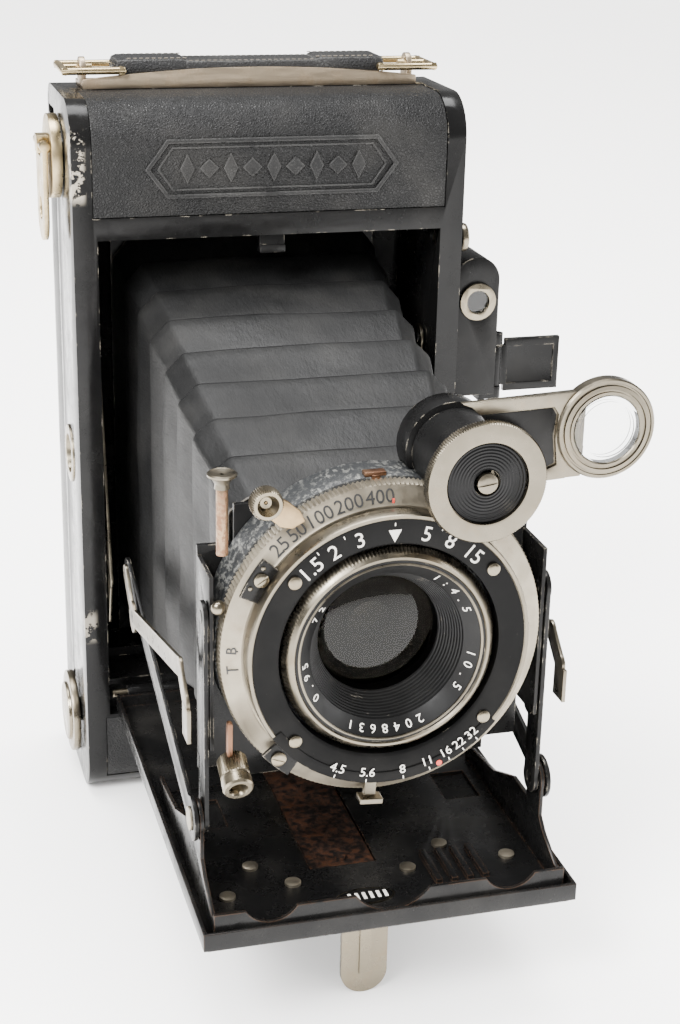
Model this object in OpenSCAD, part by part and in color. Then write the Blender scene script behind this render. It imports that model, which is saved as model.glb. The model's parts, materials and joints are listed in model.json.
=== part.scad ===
// Self-erecting folding camera for roll film, standing upright on its lower end.
// X is to the right as seen from the front, -Y is the way the lens looks, +Z is up.
// The origin is the middle of the flat lower end of the body.

/* [Body] */
// Width of the body
body_w = 92; // [90:0.5:94]
// Depth of the body, front wall to back door
body_d = 38; // [38:0.5:39]
// Height of the body, end to end
body_h = 172; // [172:0.5:174]
// Radius of the front corners of both ends
front_r = 10; // [8:0.5:11]
// Radius of the back corners of both ends
back_r = 5; // [4:0.5:6]
// Half width of the opening that the bed closes
opening_hw = 40.5; // [40.3:0.1:41]
// Lower edge of the leather on the upper front
leather_z = 146.5; // [145:0.5:148]

/* [Bed and linkage] */
// Height of the bed hinge
hinge_z = 28; // [28:0.1:28.5]
// Distance of the bed hinge in front of the middle of the body
hinge_y = 18; // [17.8:0.1:18.2]
// Half width of the bed
bed_hw = 39; // [38.8:0.1:39.1]
// Length of the bed from its hinge
bed_l = 108; // [107:0.5:109]
// Distance of the link pivot from the bed hinge
link_s = 89.5; // [89:0.1:90]
// Height of the link pivot above the bed hinge
link_w = 16; // [15.8:0.1:16.2]
// Length of the links
link_l = 44; // [43.5:0.1:44.5]
// Slope of the stays when the bed is open, in degrees
stay_rise = 17; // [16:0.5:18]

/* [Lens and shutter] */
// Height of the lens axis
lens_z = 81.2; // [81:0.1:81.6]
// Outer radius of the shutter and its speed ring
shutter_r = 33; // [32:0.1:33.2]
// Outer radius of the face plate
face_r = 28.5; // [28:0.1:29]
// Outer radius of the knurled ring of the front cell
cell_r = 21.8; // [21:0.1:22]
// Radius of the front glass
glass_r = 12.4; // [12:0.1:13]
// Sideways place of the focusing wheel
wheel_x = 15.6; // [15:0.1:16]
// Height of the focusing wheel
wheel_z = 117; // [116.5:0.1:117.3]
// Radius of the focusing wheel
wheel_r = 12; // [11.5:0.1:12.3]

/* [Hidden] */
$fn = 64;

black = "#1b1b1d";
hide = "#2a2a2b";
nickel = "#c4c2bb";
glass = "#9fb0b4";

hw = body_w / 2;
front_y = -body_d / 2;
back_y = body_d / 2;
seam_y = back_y - 2;            // plane between the shell and the back door
flange_y = 8;                   // front edge of the door's side flanges
wall = 1.5;
spool_r = body_h / 2 - 71.3;    // distance of each spool axis from its end
spool_y = 1.5;
chamber_r = spool_r - wall;
chamber_hw = 43;
low_spool_z = spool_r;
high_spool_z = body_h - spool_r;
opening_lo = hinge_z + 1.5;
opening_hi = 141.5;
gate_y = 11.3;
gate_lo = 31.8;
gate_hi = body_h - 32.5;
axle_y = -hinge_y;              // the bed hinge in the part's frame
pivot_y = axle_y - link_s;      // lower pivot of the links
pivot_z = hinge_z + link_w;
top_pivot_z = pivot_z + link_l; // upper pivot of the links
plate_y = -98.5;                // front of the standard's plate
rim_y = -107.7;                 // front of the shutter case
scale_y = -113.5;               // front of the speed ring
face_y = -117.4;                // front of the face plate
cell_y = -118;                  // front of the front cell
arm_y = -118.6;                 // back of the rangefinder arm
wheel_y = -121.4;               // back of the focusing wheel
fit = 0.06;                     // radial clearance of a running fit
flange_x = 33.5;                // inner faces of the layers beside the shutter
link_x = 34.6;
cheek_x = 35.8;
stay_x = 36.9;
lever_x = 38.55;
strut_x = 39.4;
arm_len = 25.6;
arm_tilt = 18.6;
ring_x = wheel_x + arm_len * cos(arm_tilt);
ring_z = wheel_z + arm_len * sin(arm_tilt);
window_x = 52.4;
window_z = 122;

module box(x0, x1, y0, y1, z0, z1) translate([x0, y0, z0]) cube([x1 - x0, y1 - y0, z1 - z0]);
module rod_x(x0, x1, y, z, r) translate([x0, y, z]) rotate([0, 90, 0]) cylinder(h = x1 - x0, r = r);
module rod_y(y0, y1, x, z, r) translate([x, y1, z]) rotate([90, 0, 0]) cylinder(h = y1 - y0, r = r);
module cone_y(y0, y1, x, z, r0, r1)
    translate([x, y1, z]) rotate([90, 0, 0]) cylinder(h = y1 - y0, r1 = r1, r2 = r0);
module rod_z(z0, z1, x, y, r) translate([x, y, z0]) cylinder(h = z1 - z0, r = r);
module tube_y(y0, y1, x, z, ro, ri) difference() {
    rod_y(y0, y1, x, z, ro);
    rod_y(y0 - 1, y1 + 1, x, z, ri);
}

// Flat bar between two points of the YZ plane, round at both ends
module bar(x0, x1, a, b, w) {
    dy = b[0] - a[0];
    dz = b[1] - a[1];
    rod_x(x0, x1, a[0], a[1], w / 2);
    rod_x(x0, x1, b[0], b[1], w / 2);
    // the shank is a little narrower than its ends
    translate([x0, a[0], a[1]]) rotate([atan2(dz, dy), 0, 0])
        translate([0, 0, -w * 0.46]) cube([x1 - x0, norm([dy, dz]), w * 0.92]);
}

// The same piece on the left or, mirrored, on the right
module side(s) mirror([s > 0 ? 1 : 0, 0, 0]) children();

// Side view of the body, drawn in by `inset` all round
module profile(inset) {
    fr = front_r - inset;
    br = back_r - inset;
    y0 = front_y + inset;
    y1 = back_y - inset;
    z0 = inset;
    z1 = body_h - inset;
    translate([y0 + fr, z0]) square([y1 - y0 - fr - br, z1 - z0]);
    translate([y0, z0 + fr]) square([fr + 1, z1 - z0 - 2 * fr]);
    translate([y1 - br - 1, z0 + br]) square([br + 1, z1 - z0 - 2 * br]);
    for (z = [z0 + fr, z1 - fr]) translate([y0 + fr, z]) circle(fr);
    for (z = [z0 + br, z1 - br]) translate([y1 - br, z]) circle(br);
}
module slab(half, inset) translate([-half, 0, 0]) rotate([90, 0, 90])
    linear_extrude(height = 2 * half) profile(inset);

// ---------- body ----------

module body_shell() color(black) {
    difference() {
        slab(hw, 0);
        // leather beds, a millimetre deep, between the side rails
        difference() {
            union() {
                box(-41.5, 41.5, front_y - 1, 2, leather_z, body_h + 1);
                box(-41.5, 41.5, front_y - 1, 0, 5, 22);
            }
            slab(41.5, 1);
        }
        // space for the bellows
        box(-opening_hw, opening_hw, front_y - 1, 0.1, opening_lo, opening_hi);
        box(-opening_hw, opening_hw, 0, gate_y, gate_lo, gate_hi);
        rod_x(-opening_hw, opening_hw, axle_y, hinge_z, 5.3);
        // spool chambers, open to the back
        for (z = [low_spool_z, high_spool_z]) {
            rod_x(-chamber_hw, chamber_hw, spool_y, z, chamber_r);
            box(-chamber_hw, chamber_hw, spool_y, seam_y + 1, z - chamber_r, z + chamber_r);
        }
        box(-chamber_hw, chamber_hw, gate_y, back_y + 1, 2.4, body_h - 2.4);
        box(-hw - 1, hw + 1, seam_y - 0.1, back_y + 1, 2.4, body_h - 2.4);
        // film roller pockets
        for (z = [29.8, 141.9]) rod_x(-31.2, 31.2, 11, z, 2);
        // side walls set back under the flanges of the door
        for (s = [-1, 1])
            translate([s * (hw - 0.5), flange_y + 10 - 0.2, body_h / 2]) cube([1.2, 20, body_h - 10], center = true);
        // shafts of the key and the knob, release button, catch, tripod bush
        rod_x(-hw - 1, -chamber_hw + 1, spool_y, high_spool_z, 3.06);
        rod_x(-hw - 1, -chamber_hw + 1, spool_y, low_spool_z, 3.06);
        rod_x(opening_hw - 1, hw + 1, -14, 138, 2.06);
        box(-3.3, 4.9, -18, -15.1, opening_hi - 0.1, opening_hi + 1.9);
        rod_x(-hw - 1, -opening_hw - 0.5, -2, 86, 7);
        // hinge pin of the back door
        rod_x(-7, 7, 18.3, 4, 0.7);
    }
    // middle knuckle of the back hinge
    difference() {
        union() {
            rod_x(-6.5, 6.5, 18.3, 4, 1.5);
            box(-6.5, 6.5, 16.9, 19, 1, 4);
        }
        rod_x(-8, 8, 18.3, 4, 0.7);
    }
    // knuckles of the bed hinge
    difference() {
        for (x = [-36, -4, 28]) {
            rod_x(x, x + 8, axle_y, hinge_z, 1.7);
            box(x, x + 8, axle_y - 0.2, axle_y + 6, hinge_z - 1.7, hinge_z - 0.2);
        }
        rod_x(-40, 40, axle_y, hinge_z, 1);
    }
    // spindle ends that hold the spools on the right
    for (z = [low_spool_z, high_spool_z]) rod_x(30.4, chamber_hw + 1, spool_y, z, 2.9);
    // studs that the struts turn on
    for (s = [-1, 1]) side(s) rod_x(-opening_hw - 1, -39.1, -8, 112, 1.3);
}

module body_leather() color(hide) difference() {
    slab(41.35, 0.1);
    slab(60, 0.95);
    box(-60, 60, front_y - 5, back_y + 5, 21.8, leather_z + 0.15);
    box(-60, 60, -0.2, back_y + 5, -5, 22);
    box(-60, 60, 1.8, back_y + 5, 22, body_h + 5);
    box(-60, 60, front_y - 5, back_y + 5, -5, 5.2);
}

module top_plate() color(nickel) {
    box(-40, 40, 2.2, 14, body_h, body_h + 1);
    // lip with a bowed upper edge
    intersection() {
        box(-40, 40, 2.2, 3.4, body_h, body_h + 8);
        translate([0, 8, body_h - 330]) rotate([90, 0, 0]) cylinder(h = 10, r = 334.5, $fn = 200);
    }
    // lugs for the strap loops
    for (s = [-1, 1]) side(s) difference() {
        union() {
            box(-40, -38.6, 5.5, 10.5, body_h + 0.9, body_h + 4.2);
            rod_x(-40, -38.6, 8, body_h + 4.2, 2.5);
        }
        rod_x(-42, -36, 8, body_h + 4.2, 0.96);
    }
}

module strap_loops() color(nickel) for (s = [-1, 1]) side(s) {
    z = body_h + 4.2;
    // pin in the lug, wire bow, and the bar inside the leather
    rod_x(-44, -37, 8, z, 0.9);
    rod_y(0.8, 15.2, -44, z, 0.88);
    for (y = [1.5, 14.5]) rod_x(-44.7, -30.3, y, z, 0.86);
    rod_y(0.8, 15.2, -31, z, 0.88);
}

module strap() color(hide) difference() {
    union() {
        box(-31, 31, 4, 12.4, body_h + 2.6, body_h + 5.8);
        for (s = [-1, 1]) side(s) rod_y(4, 12.4, -31, body_h + 4.2, 1.6);
    }
    for (s = [-1, 1]) side(s) rod_y(2, 14, -31, body_h + 4.2, 0.95);
}

module film_gate() color(black) difference() {
    box(-33, 33, gate_y, gate_y + 1, gate_lo + 0.1, gate_hi - 0.1);
    box(-28, 28, gate_y - 1, gate_y + 2, 41, 130);
}

module roller(z) color(nickel) rod_x(-30.8, 30.8, 11, z, 1.7);
module film_roller_upper() roller(141.9);
module film_roller_lower() roller(29.8);

module hinge_pins() color(nickel) {
    rod_x(-39.6, 39.6, axle_y, hinge_z, 1);
    rod_x(-20, 20, 18.3, 4, 0.7);
}

module side_tripod_bush() color(nickel) difference() {
    rod_x(-hw - 0.4, -opening_hw - 0.5, -2, 86, 7);
    rod_x(-hw - 1, -opening_hw - 1.1, -2, 86, 4.76);
}

// ---------- back ----------

module back_door() color(black) {
    difference() {
        union() {
            intersection() {
                slab(hw, 0);
                box(-hw, hw, seam_y + 0.1, back_y, 5.8, body_h - 2.6);
            }
            for (s = [-1, 1]) side(s) box(-hw, -hw + 0.85, flange_y, back_y - 0.5, 8, body_h - 7);
            // light trap ridge
            difference() {
                box(-42.8, 42.8, 15, seam_y + 0.2, 6, body_h - 3);
                box(-41.6, 41.6, 14, seam_y + 1, 7.2, body_h - 4.2);
            }
            for (s = [-1, 1]) side(s) {
                rod_x(-20, -6.8, 18.3, 4, 1.5);
                box(-20, -6.8, 17.3, 18.9, 4, 6.4);
            }
        }
        rod_x(-21, 21, 18.3, 4, 0.74);
        rod_y(seam_y - 1, back_y + 1, 0, 62, 4.5);
        // bed of the leather
        box(-43, 43, back_y - 0.6, back_y + 1, 10, body_h - 8);
    }
}

module back_leather() color(hide) difference() {
    box(-42.9, 42.9, back_y - 0.6, back_y + 0.1, 10.1, body_h - 8.1);
    rod_y(seam_y - 1, back_y + 2, 0, 62, 4.5);
    box(-7, 7, back_y - 2, back_y + 2, 56, 82);
}

module red_window() color("#7c1712") rod_y(seam_y + 0.3, back_y - 0.9, 0, 62, 4.45);

module window_cover() color(nickel) {
    box(-6.2, 6.2, back_y - 0.4, back_y + 0.3, 56.3, 68);
    rod_y(back_y + 0.2, back_y + 1.2, 0, 66, 1.2);
}

module pressure_plate() color(nickel) {
    box(-30.5, 30.5, 12.8, 13.6, 38, 133);
    for (z = [60, 110]) box(-4, 4, 13.5, seam_y + 0.15, z, z + 6);
}

module back_catch() color(nickel) {
    box(-9, 9, 14.2, 18.6, body_h + 0.05, body_h + 1.3);
    for (x = [-6:2:6]) box(x - 0.4, x + 0.4, 14.8, 18, body_h + 1.2, body_h + 2);
}

// ---------- film transport ----------

module spool(z) difference() {
    union() {
        rod_x(-30.2, 30.2, spool_y, z, 6);
        for (x = [-30.2, 29.3]) rod_x(x, x + 0.9, spool_y, z, 12.6);
    }
    rod_x(-31, 31, spool_y, z, 3);
}
module take_up_spool() color("#8a2f1f") spool(high_spool_z);
module feed_spool() color("#8a2f1f") spool(low_spool_z);

module winding_key() color(nickel) {
    rod_x(-hw - 2.6, -hw - 0.3, spool_y, high_spool_z, 9.6);
    rod_x(-hw - 1, -28.5, spool_y, high_spool_z, 2.94);
    difference() {
        box(-hw - 5.2, -hw - 2.5, spool_y - 2, spool_y + 2, high_spool_z + 1, high_spool_z + 5);
        rod_y(spool_y - 3, spool_y + 3, -hw - 3.9, high_spool_z + 3, 0.9);
    }
}

module key_wing() color(nickel) {
    x = -hw - 3.9;
    z = high_spool_z + 3;
    rod_y(spool_y - 6.5, spool_y + 6.5, x, z, 0.84);
    for (s = [-1, 1]) rod_y(spool_y + s * 4.4 - 2.1, spool_y + s * 4.4 + 2.1, x, z, 1.2);
    difference() {
        union() {
            box(x - 0.6, x + 0.6, spool_y - 6.5, spool_y + 6.5, z - 16, z);
            rod_x(x - 0.6, x + 0.6, spool_y, z - 16, 6.5);
        }
        box(x - 2, x + 2, spool_y - 2.3, spool_y + 2.3, z - 2.8, z + 4);
        rod_x(x - 2, x + 2, spool_y, z - 15, 2.6);
    }
}

module feed_knob() color(nickel) {
    rod_x(-hw - 2.2, -hw - 0.3, spool_y, low_spool_z, 10.4);
    rod_x(-hw - 3, -hw - 2.1, spool_y, low_spool_z, 7.5);
    rod_x(-hw - 1, -28.5, spool_y, low_spool_z, 2.94);
}

// ---------- rangefinder and finder on the right side ----------

module rangefinder_housing() color(black) difference() {
    union() {
        box(hw, 58, -14, 7.2, 98, 127);
        box(hw + 0.5, 58, 7, 13, 98, 127);
        rod_y(-14, 13, 52.2, 127, 5.8);
        // base and lugs of the folding finder
        box(57.9, 59.4, -4, 18.6, 93, 110);
        rod_z(93, 96, 63, -1, 1.6);
        rod_z(107, 110, 63, -1, 1.6);
        box(59.3, 63, -2.6, 0.6, 93, 96);
        box(59.3, 63, -2.6, 0.6, 107, 110);
        rod_z(94.2, 96.8, 60.6, 17.2, 1.3);
        rod_z(106.2, 108.8, 60.6, 17.2, 1.3);
    }
    box(hw + 1.4, 56.6, -12.6, 11.6, 99.4, 126);
    rod_y(-12.7, 11.6, 52.2, 126.2, 4.5);
    rod_y(-16, -12, window_x, window_z, 3.6);
    rod_y(11, 16, window_x, window_z, 2.6);
    for (z = [92, 106.8]) rod_z(z, z + 5, 63, -1, 0.7);
    rod_z(90, 112, 60.6, 17.2, 0.6);
}

module rangefinder_bezels() color(nickel) {
    tube_y(-14.8, -12.9, window_x, window_z, 3.6, 2.8);
    tube_y(-15, -14, window_x, window_z, 4.6, 2.8);
    tube_y(11.9, 14, window_x, window_z, 2.6, 1.8);
    tube_y(13, 14.6, window_x, window_z, 4, 1.8);
}

module rangefinder_prism() color(glass) {
    box(48.8, 56, -12.4, 11.4, 116, 125.4);
    rod_y(-14, -12.3, window_x, window_z, 2.8);
}

module finder_front() color(black) {
    difference() {
        union() {
            box(62.6, 80, -1.7, -0.3, 96.3, 106.7);
            box(65.2, 80, -1.7, -0.3, 94.6, 108.4);
            rod_z(96.3, 106.7, 63, -1, 1.4);
        }
        box(66, 78.4, -3, 1, 96.6, 106.4);
    }
    rod_z(93.4, 109.6, 63, -1, 0.64);
    box(66.2, 66.8, -1.3, -0.7, 96.4, 106.6);
    // glass of the finder, held by the rim
    box(65.9, 78.5, -1.3, -0.7, 96.5, 106.5);
}

module finder_peep() color(black) difference() {
    union() {
        rod_z(97, 106, 60.6, 17.2, 1.2);
        box(60.6, 68, 16.6, 17.8, 97, 106);
        rod_z(94.4, 108.6, 60.6, 17.2, 0.54);
    }
    rod_y(15, 19, 65, 101.5, 2.2);
}

module release_button() color(nickel) {
    rod_x(hw + 0.9, hw + 2.6, -14, 138, 3.4);
    rod_x(opening_hw + 0.4, hw + 1, -14, 138, 2);
}

module bed_catch() color(nickel) {
    box(-3, 3, -17.8, -15.3, 137.2, opening_hi + 1.6);
    box(-3, 3, -18.6, -17.6, 137.2, 139);
}

// ---------- bed ----------

module bed_pan() color(black) {
    y0 = axle_y - bed_l;
    y1 = axle_y - 2.2;
    difference() {
        union() {
            box(-bed_hw, bed_hw, y0, y1, hinge_z - 3.3, hinge_z + 0.6);
            for (x = [-27.8, 4.2]) {
                rod_x(x, x + 23.6, axle_y, hinge_z, 1.7);
                box(x, x + 23.6, axle_y - 3, axle_y, hinge_z - 1.7, hinge_z - 0.4);
            }
        }
        box(-bed_hw + 0.8, bed_hw - 0.8, y0 + 0.8, y1 - 0.8, hinge_z - 2.5, hinge_z + 2);
        rod_x(-40, 40, axle_y, hinge_z, 1 + fit);
        rod_z(20, 40, 0, -48, 7);
    }
    // raised bead behind the front edge
    box(-bed_hw + 0.7, bed_hw - 0.7, y0 + 0.7, y0 + 1.4, hinge_z - 2.6, hinge_z - 0.6);
}

module bed_leather() color(hide) difference() {
    box(-bed_hw + 1, bed_hw - 1, axle_y - bed_l + 1, axle_y - 6.2, hinge_z - 4.1, hinge_z - 3.3);
    rod_z(20, 30, 0, -48, 9.2);
    box(-9, 5, -115, -86, 20, 30);
}

module bed_tripod_bush() color(nickel) difference() {
    union() {
        rod_z(hinge_z - 4.4, hinge_z - 3.3, 0, -48, 9);
        rod_z(hinge_z - 3.4, hinge_z + 2.2, 0, -48, 7);
    }
    rod_z(20, hinge_z + 1.4, 0, -48, 4.76);
}

module foot() color(nickel) {
    y = -112;
    z = hinge_z - 4.6;
    rod_x(-7, 3, y, z, 1.2);
    box(-7, 3, y - 0.6, y + 0.6, 5, z);
    rod_y(y - 0.6, y + 0.6, -2, 5, 5);
    box(-3.2, -0.8, y - 1.2, y - 0.5, 5, z);
}

module cheek() {
    // side wall of the carrier, highest at the pivots
    difference() {
        union() {
            bar(-cheek_x - 0.8, -cheek_x, [pivot_y, pivot_z], [pivot_y, 32], 8);
            box(-cheek_x - 0.8, -cheek_x, -124, -66, 25.6, 30.5);
            translate([-cheek_x - 0.8, -124, 25.6]) rotate([90, 0, 90]) linear_extrude(height = 0.8)
                polygon([[3, 4.8], [10, 8.4], [14, 12], [28, 12], [40, 7], [56, 4.8]]);
        }
        rod_x(-60, 0, pivot_y, pivot_z, 1.3);
    }
}

module carrier() color(black) {
    difference() {
        box(-cheek_x, cheek_x, -123.6, -66, 25.5, 26.5);
        box(-12, 2.5, -104.5, -60, 25, 28);
        for (x = [-33, 25]) box(x, x + 8, -84, -72, 24, 30);
    }
    for (s = [-1, 1]) side(s) cheek();
    // wavy front lip
    difference() {
        box(-cheek_x - 0.8, cheek_x + 0.8, -124.4, -123.6, 25.5, 31.6);
        rod_y(-126, -122, 0, 37, 9.4);
        for (s = [-1, 1]) rod_y(-126, -122, s * 25, 34.6, 6);
    }
    // stiffening ribs pressed into the floor
    for (x = [12:3.4:24]) box(x, x + 1.4, -116, -104, 26.4, 27.4);
}

module carrier_rivets() color(nickel) {
    for (p = [[-16.8, -109], [8, -109], [17.4, -101.5], [-24, -101], [30, -109], [-31, -111]])
        rod_z(26.52, 27.1, p[0], p[1], 1.6);
    for (s = [-1, 1]) side(s) {
        rod_x(-lever_x + 0.2, -link_x + 0.1, pivot_y, pivot_z, 1.3);
        rod_x(-lever_x + 0.1, -stay_x - 0.95, pivot_y, pivot_z, 2.5);
    }
}

module centre_strip() color("#6b4a33") {
    box(-11.8, 2.2, -104, -60, 25.55, 26.2);
    rod_z(26.1, 27.2, -4.8, -101.5, 1.3);
}

// ---------- linkage ----------

module link(s) side(s) difference() {
    bar(-link_x - 0.9, -link_x, [pivot_y, pivot_z], [pivot_y, top_pivot_z], 6.4);
    rod_x(-60, 0, pivot_y, pivot_z, 1.3 + fit);
    rod_x(-60, 0, pivot_y, top_pivot_z, 1.3 + fit);
}
module link_left() color(black) link(-1);
module link_right() color(black) link(1);

function along_stay(d) = [pivot_y + d * cos(stay_rise), pivot_z + d * sin(stay_rise)];

module stay(s) side(s) {
    difference() {
        union() {
            bar(-stay_x - 0.9, -stay_x, along_stay(0), along_stay(78), 6.4);
            rod_x(-stay_x - 0.9, -stay_x, pivot_y, pivot_z, 4.6);
        }
        rod_x(-60, 0, pivot_y, pivot_z, 1.3 + fit);
    }
    // stud that the lock lever turns on
    rod_x(-lever_x - 0.75, -stay_x - 0.4, along_stay(62)[0], along_stay(62)[1], 1.3);
}
module stay_left() color(black) stay(-1);
module stay_right() color(black) stay(1);

module lock_lever(s) side(s) {
    r = along_stay(62);
    hook = [-104, 76];
    difference() {
        union() {
            bar(-lever_x - 0.7, -lever_x, r, hook, 4.4);
            bar(-lever_x - 0.7, -lever_x, r, r + [9, 7], 4);
            bar(-lever_x - 0.7, -lever_x, hook, [-109.5, 71], 4.4);
            rod_x(-lever_x - 0.7, -lever_x, r[0], r[1], 3.6);
        }
        rod_x(-60, 0, r[0], r[1], 1.3 + fit);
    }
    // press tab
    box(-lever_x - 0.75, -lever_x, -112.6, -107.6, 63.5, 70.6);
}
module lock_lever_left() color(nickel) lock_lever(-1);
module lock_lever_right() color(nickel) lock_lever(1);

module strut(s) side(s) difference() {
    union() {
        bar(-strut_x - 0.7, -strut_x, [-8, 112], [-20.4, 60], 5);
        rod_x(-strut_x - 0.7, -strut_x, -8, 112, 3.4);
        bar(-strut_x - 0.7, -strut_x, [-20.4, 60], [-17, 49], 4);
    }
    rod_x(-60, 0, -8, 112, 1.3 + fit);
}
module strut_left() color(nickel) strut(-1);
module strut_right() color(nickel) strut(1);

// ---------- standard and shutter ----------

module standard() color(black) {
    difference() {
        union() {
            box(-flange_x - 0.8, flange_x + 0.8, plate_y, plate_y + 1.2, 50, 99);
            box(-27, 27, plate_y, plate_y + 1.2, 47.2, 107);
            for (s = [-1, 1]) side(s) {
                box(-flange_x - 0.8, -flange_x, -110, plate_y + 1, 60, 97);
                rod_x(-flange_x - 0.8, -flange_x, -107, 62, 3);
            }
            // bracket and post of the rangefinder arm
            difference() {
                tube_y(-103.4, plate_y + 1.2, wheel_x, wheel_z, 9.6, 5.4);
                rod_y(-110, plate_y, 0, lens_z, shutter_r + 0.2);
            }
            box(wheel_x - 7, wheel_x + 7, plate_y, plate_y + 1.2, 100, 112);
        }
        rod_y(plate_y - 1, plate_y + 2, 0, lens_z, 17);
    }
    rod_y(wheel_y - 2.4, plate_y + 1.2, wheel_x, wheel_z, 2.4);
    rod_y(wheel_y - 2.4, wheel_y - 1.65, wheel_x, wheel_z, 3.4);
    tube_y(arm_y + 0.3, plate_y + 1.2, wheel_x, wheel_z, 5.6, 2.2);
    // pins for the links
    for (s = [-1, 1]) side(s) {
        rod_x(-link_x - 1, -flange_x + 0.1, pivot_y, top_pivot_z, 1.3);
    }
}

module shutter_case() color("#3a3a38") difference() {
    rod_y(rim_y, plate_y - 0.1, 0, lens_z, shutter_r);
    rod_y(rim_y - 1, plate_y + 1, 0, lens_z, 20.9);
}

module speed_ring() color(nickel) difference() {
    union() {
        rod_y(scale_y + 3, rim_y - 0.2, 0, lens_z, shutter_r);
        cone_y(scale_y, scale_y + 3.1, 0, lens_z, 30.4, 31.6);
    }
    rod_y(scale_y - 1, rim_y + 1, 0, lens_z, 25);
}

module face_plate() color(black) {
    tube_y(face_y, scale_y - 0.2, 0, lens_z, face_r, 22.3);
    for (a = [37.8, 139.8, 222, 320.6])
        rod_y(face_y - 0.3, face_y + 0.1, 26 * cos(a), lens_z + 26 * sin(a), 1.3);
}

module cocking_lever() color(nickel) {
    p = [cos(127.5), sin(127.5)];
    translate([0, 0, lens_z]) rotate([0, -127.5, 0]) {
        box(29.4, 40.5, scale_y - 1.5, scale_y - 0.3, -1.6, 1.6);
        translate([40.5, scale_y - 0.3, 0]) rotate([90, 0, 0]) difference() {
            cylinder(h = 3.4, r = 3.2);
            translate([0, 0, 1.2]) cylinder(h = 3, r = 2);
        }
    }
}

module release_plunger() color(nickel) {
    rod_z(101, 115, -31.6, -109, 1.2);
    translate([-31.6, -109, 114.6]) cylinder(h = 2.4, r1 = 1.4, r2 = 2.9);
    rod_z(116.9, 117.7, -31.6, -109, 2.9);
}

module cable_socket() color(nickel) {
    // arm of the socket, bent down from the case, and its knurled mouth
    box(-32.4, -30.8, -116.6, -114, 58.8, 69);
    difference() {
        translate([-30.9, -113.6, 60]) rotate([115, 0, 0]) cylinder(h = 8, r = 3.1);
        translate([-30.9, -113.6, 60]) rotate([115, 0, 0]) translate([0, 0, 2]) cylinder(h = 8, r = 1.6);
    }
}

module aperture_lever() color(nickel) translate([0, 0, lens_z]) rotate([0, 95, 0]) {
    box(29.4, 33.2, scale_y - 1.7, scale_y - 0.3, -1.2, 1.2);
    box(32.4, 33.6, scale_y - 3.4, scale_y - 0.3, -2.4, 2.4);
}

module shutter_blades() color("#55565a") difference() {
    rod_y(-102.3, -101.5, 0, lens_z, 16.8);
    rod_y(-104, -98, 0, lens_z, 4.5);
}

module lens_barrel() color(black) {
    difference() {
        rod_y(rim_y, plate_y - 0.1, 0, lens_z, 20.8);
        rod_y(rim_y - 1, -101.3, 0, lens_z, 17);
        rod_y(-102, plate_y + 1, 0, lens_z, 14);
    }
    tube_y(-100.3, -94.7, 0, lens_z, 14, 11.2);
}

module front_cell() color(black) difference() {
    union() {
        rod_y(-114, -102.6, 0, lens_z, 17 - fit);
        rod_y(cell_y, scale_y - 0.4, 0, lens_z, cell_r);
        rod_y(scale_y - 0.5, -108, 0, lens_z, 19.6);
    }
    cone_y(cell_y - 0.1, -108, 0, lens_z, 19.3, glass_r + 0.2);
    rod_y(-109, -100, 0, lens_z, glass_r);
}

module front_glass() color(glass) difference() {
    rod_y(-108.6, -103.4, 0, lens_z, glass_r);
    translate([0, -103.4 + 24.6, lens_z]) sphere(r = 26, $fn = 96);
}

module rear_glass() color(glass) rod_y(-98.8, -95, 0, lens_z, 11.2);

// ---------- rangefinder arm and focusing wheel ----------

module wedge_arm() color(nickel) difference() {
    union() {
        translate([0, arm_y, 0]) rotate([90, 0, 0]) linear_extrude(2)
            polygon([[11.1, 131.7], [35.6, 132.9], [35.6, 115.7], [18, 114.9], [18, 124], [17.2, 126.6],
                     [16, 128.2], [14.7, 129.7], [13.2, 130.8]]);
        rod_y(arm_y - 2, arm_y, wheel_x, wheel_z, 7.4);
        rod_y(arm_y - 3, arm_y, ring_x, ring_z, 9.9);
    }
    rod_y(-130, -110, wheel_x, wheel_z, 2.4 + fit);
    rod_y(-130, -110, ring_x, ring_z, 6.6);
}

module wedge_glass() color(glass) {
    rod_y(arm_y - 2.4, arm_y - 0.4, ring_x, ring_z, 5.6);
    tube_y(arm_y - 2.8, arm_y - 0.1, ring_x, ring_z, 6.55, 5.5);
}

module focus_wheel() color(nickel) difference() {
    rod_y(wheel_y - 2.6, wheel_y, wheel_x, wheel_z, wheel_r);
    rod_y(-130, wheel_y - 1.6, wheel_x, wheel_z, 8);
    rod_y(-130, wheel_y + 1, wheel_x, wheel_z, 2.4 + fit);
}

// ---------- bellows ----------

module bellows() color("#2b2b2e") difference() {
    hull() {
        box(-33, 33, gate_y - 1.1, gate_y - 0.1, 35, 136);
        box(-27.5, 27.5, -97.2, -96.2, 53, 107.5);
    }
    hull() {
        box(-30, 30, gate_y - 1, gate_y + 1, 39, 132);
        box(-24.5, 24.5, -99, -96, 57, 103.5);
    }
}

body_shell();
body_leather();
top_plate();
film_gate();
hinge_pins();
side_tripod_bush();
rangefinder_housing();
rangefinder_bezels();
rangefinder_prism();
back_catch();
strap();
strap_loops();
film_roller_upper();
film_roller_lower();
back_door();
back_leather();
pressure_plate();
red_window();
window_cover();
take_up_spool();
winding_key();
key_wing();
feed_spool();
feed_knob();
finder_front();
finder_peep();
release_button();
bed_catch();
bed_pan();
bed_leather();
bed_tripod_bush();
foot();
carrier();
carrier_rivets();
centre_strip();
link_left();
link_right();
stay_left();
stay_right();
lock_lever_left();
lock_lever_right();
strut_left();
strut_right();
standard();
shutter_case();
speed_ring();
face_plate();
cocking_lever();
release_plunger();
cable_socket();
aperture_lever();
shutter_blades();
lens_barrel();
front_cell();
front_glass();
rear_glass();
wedge_arm();
wedge_glass();
focus_wheel();
bellows();
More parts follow.
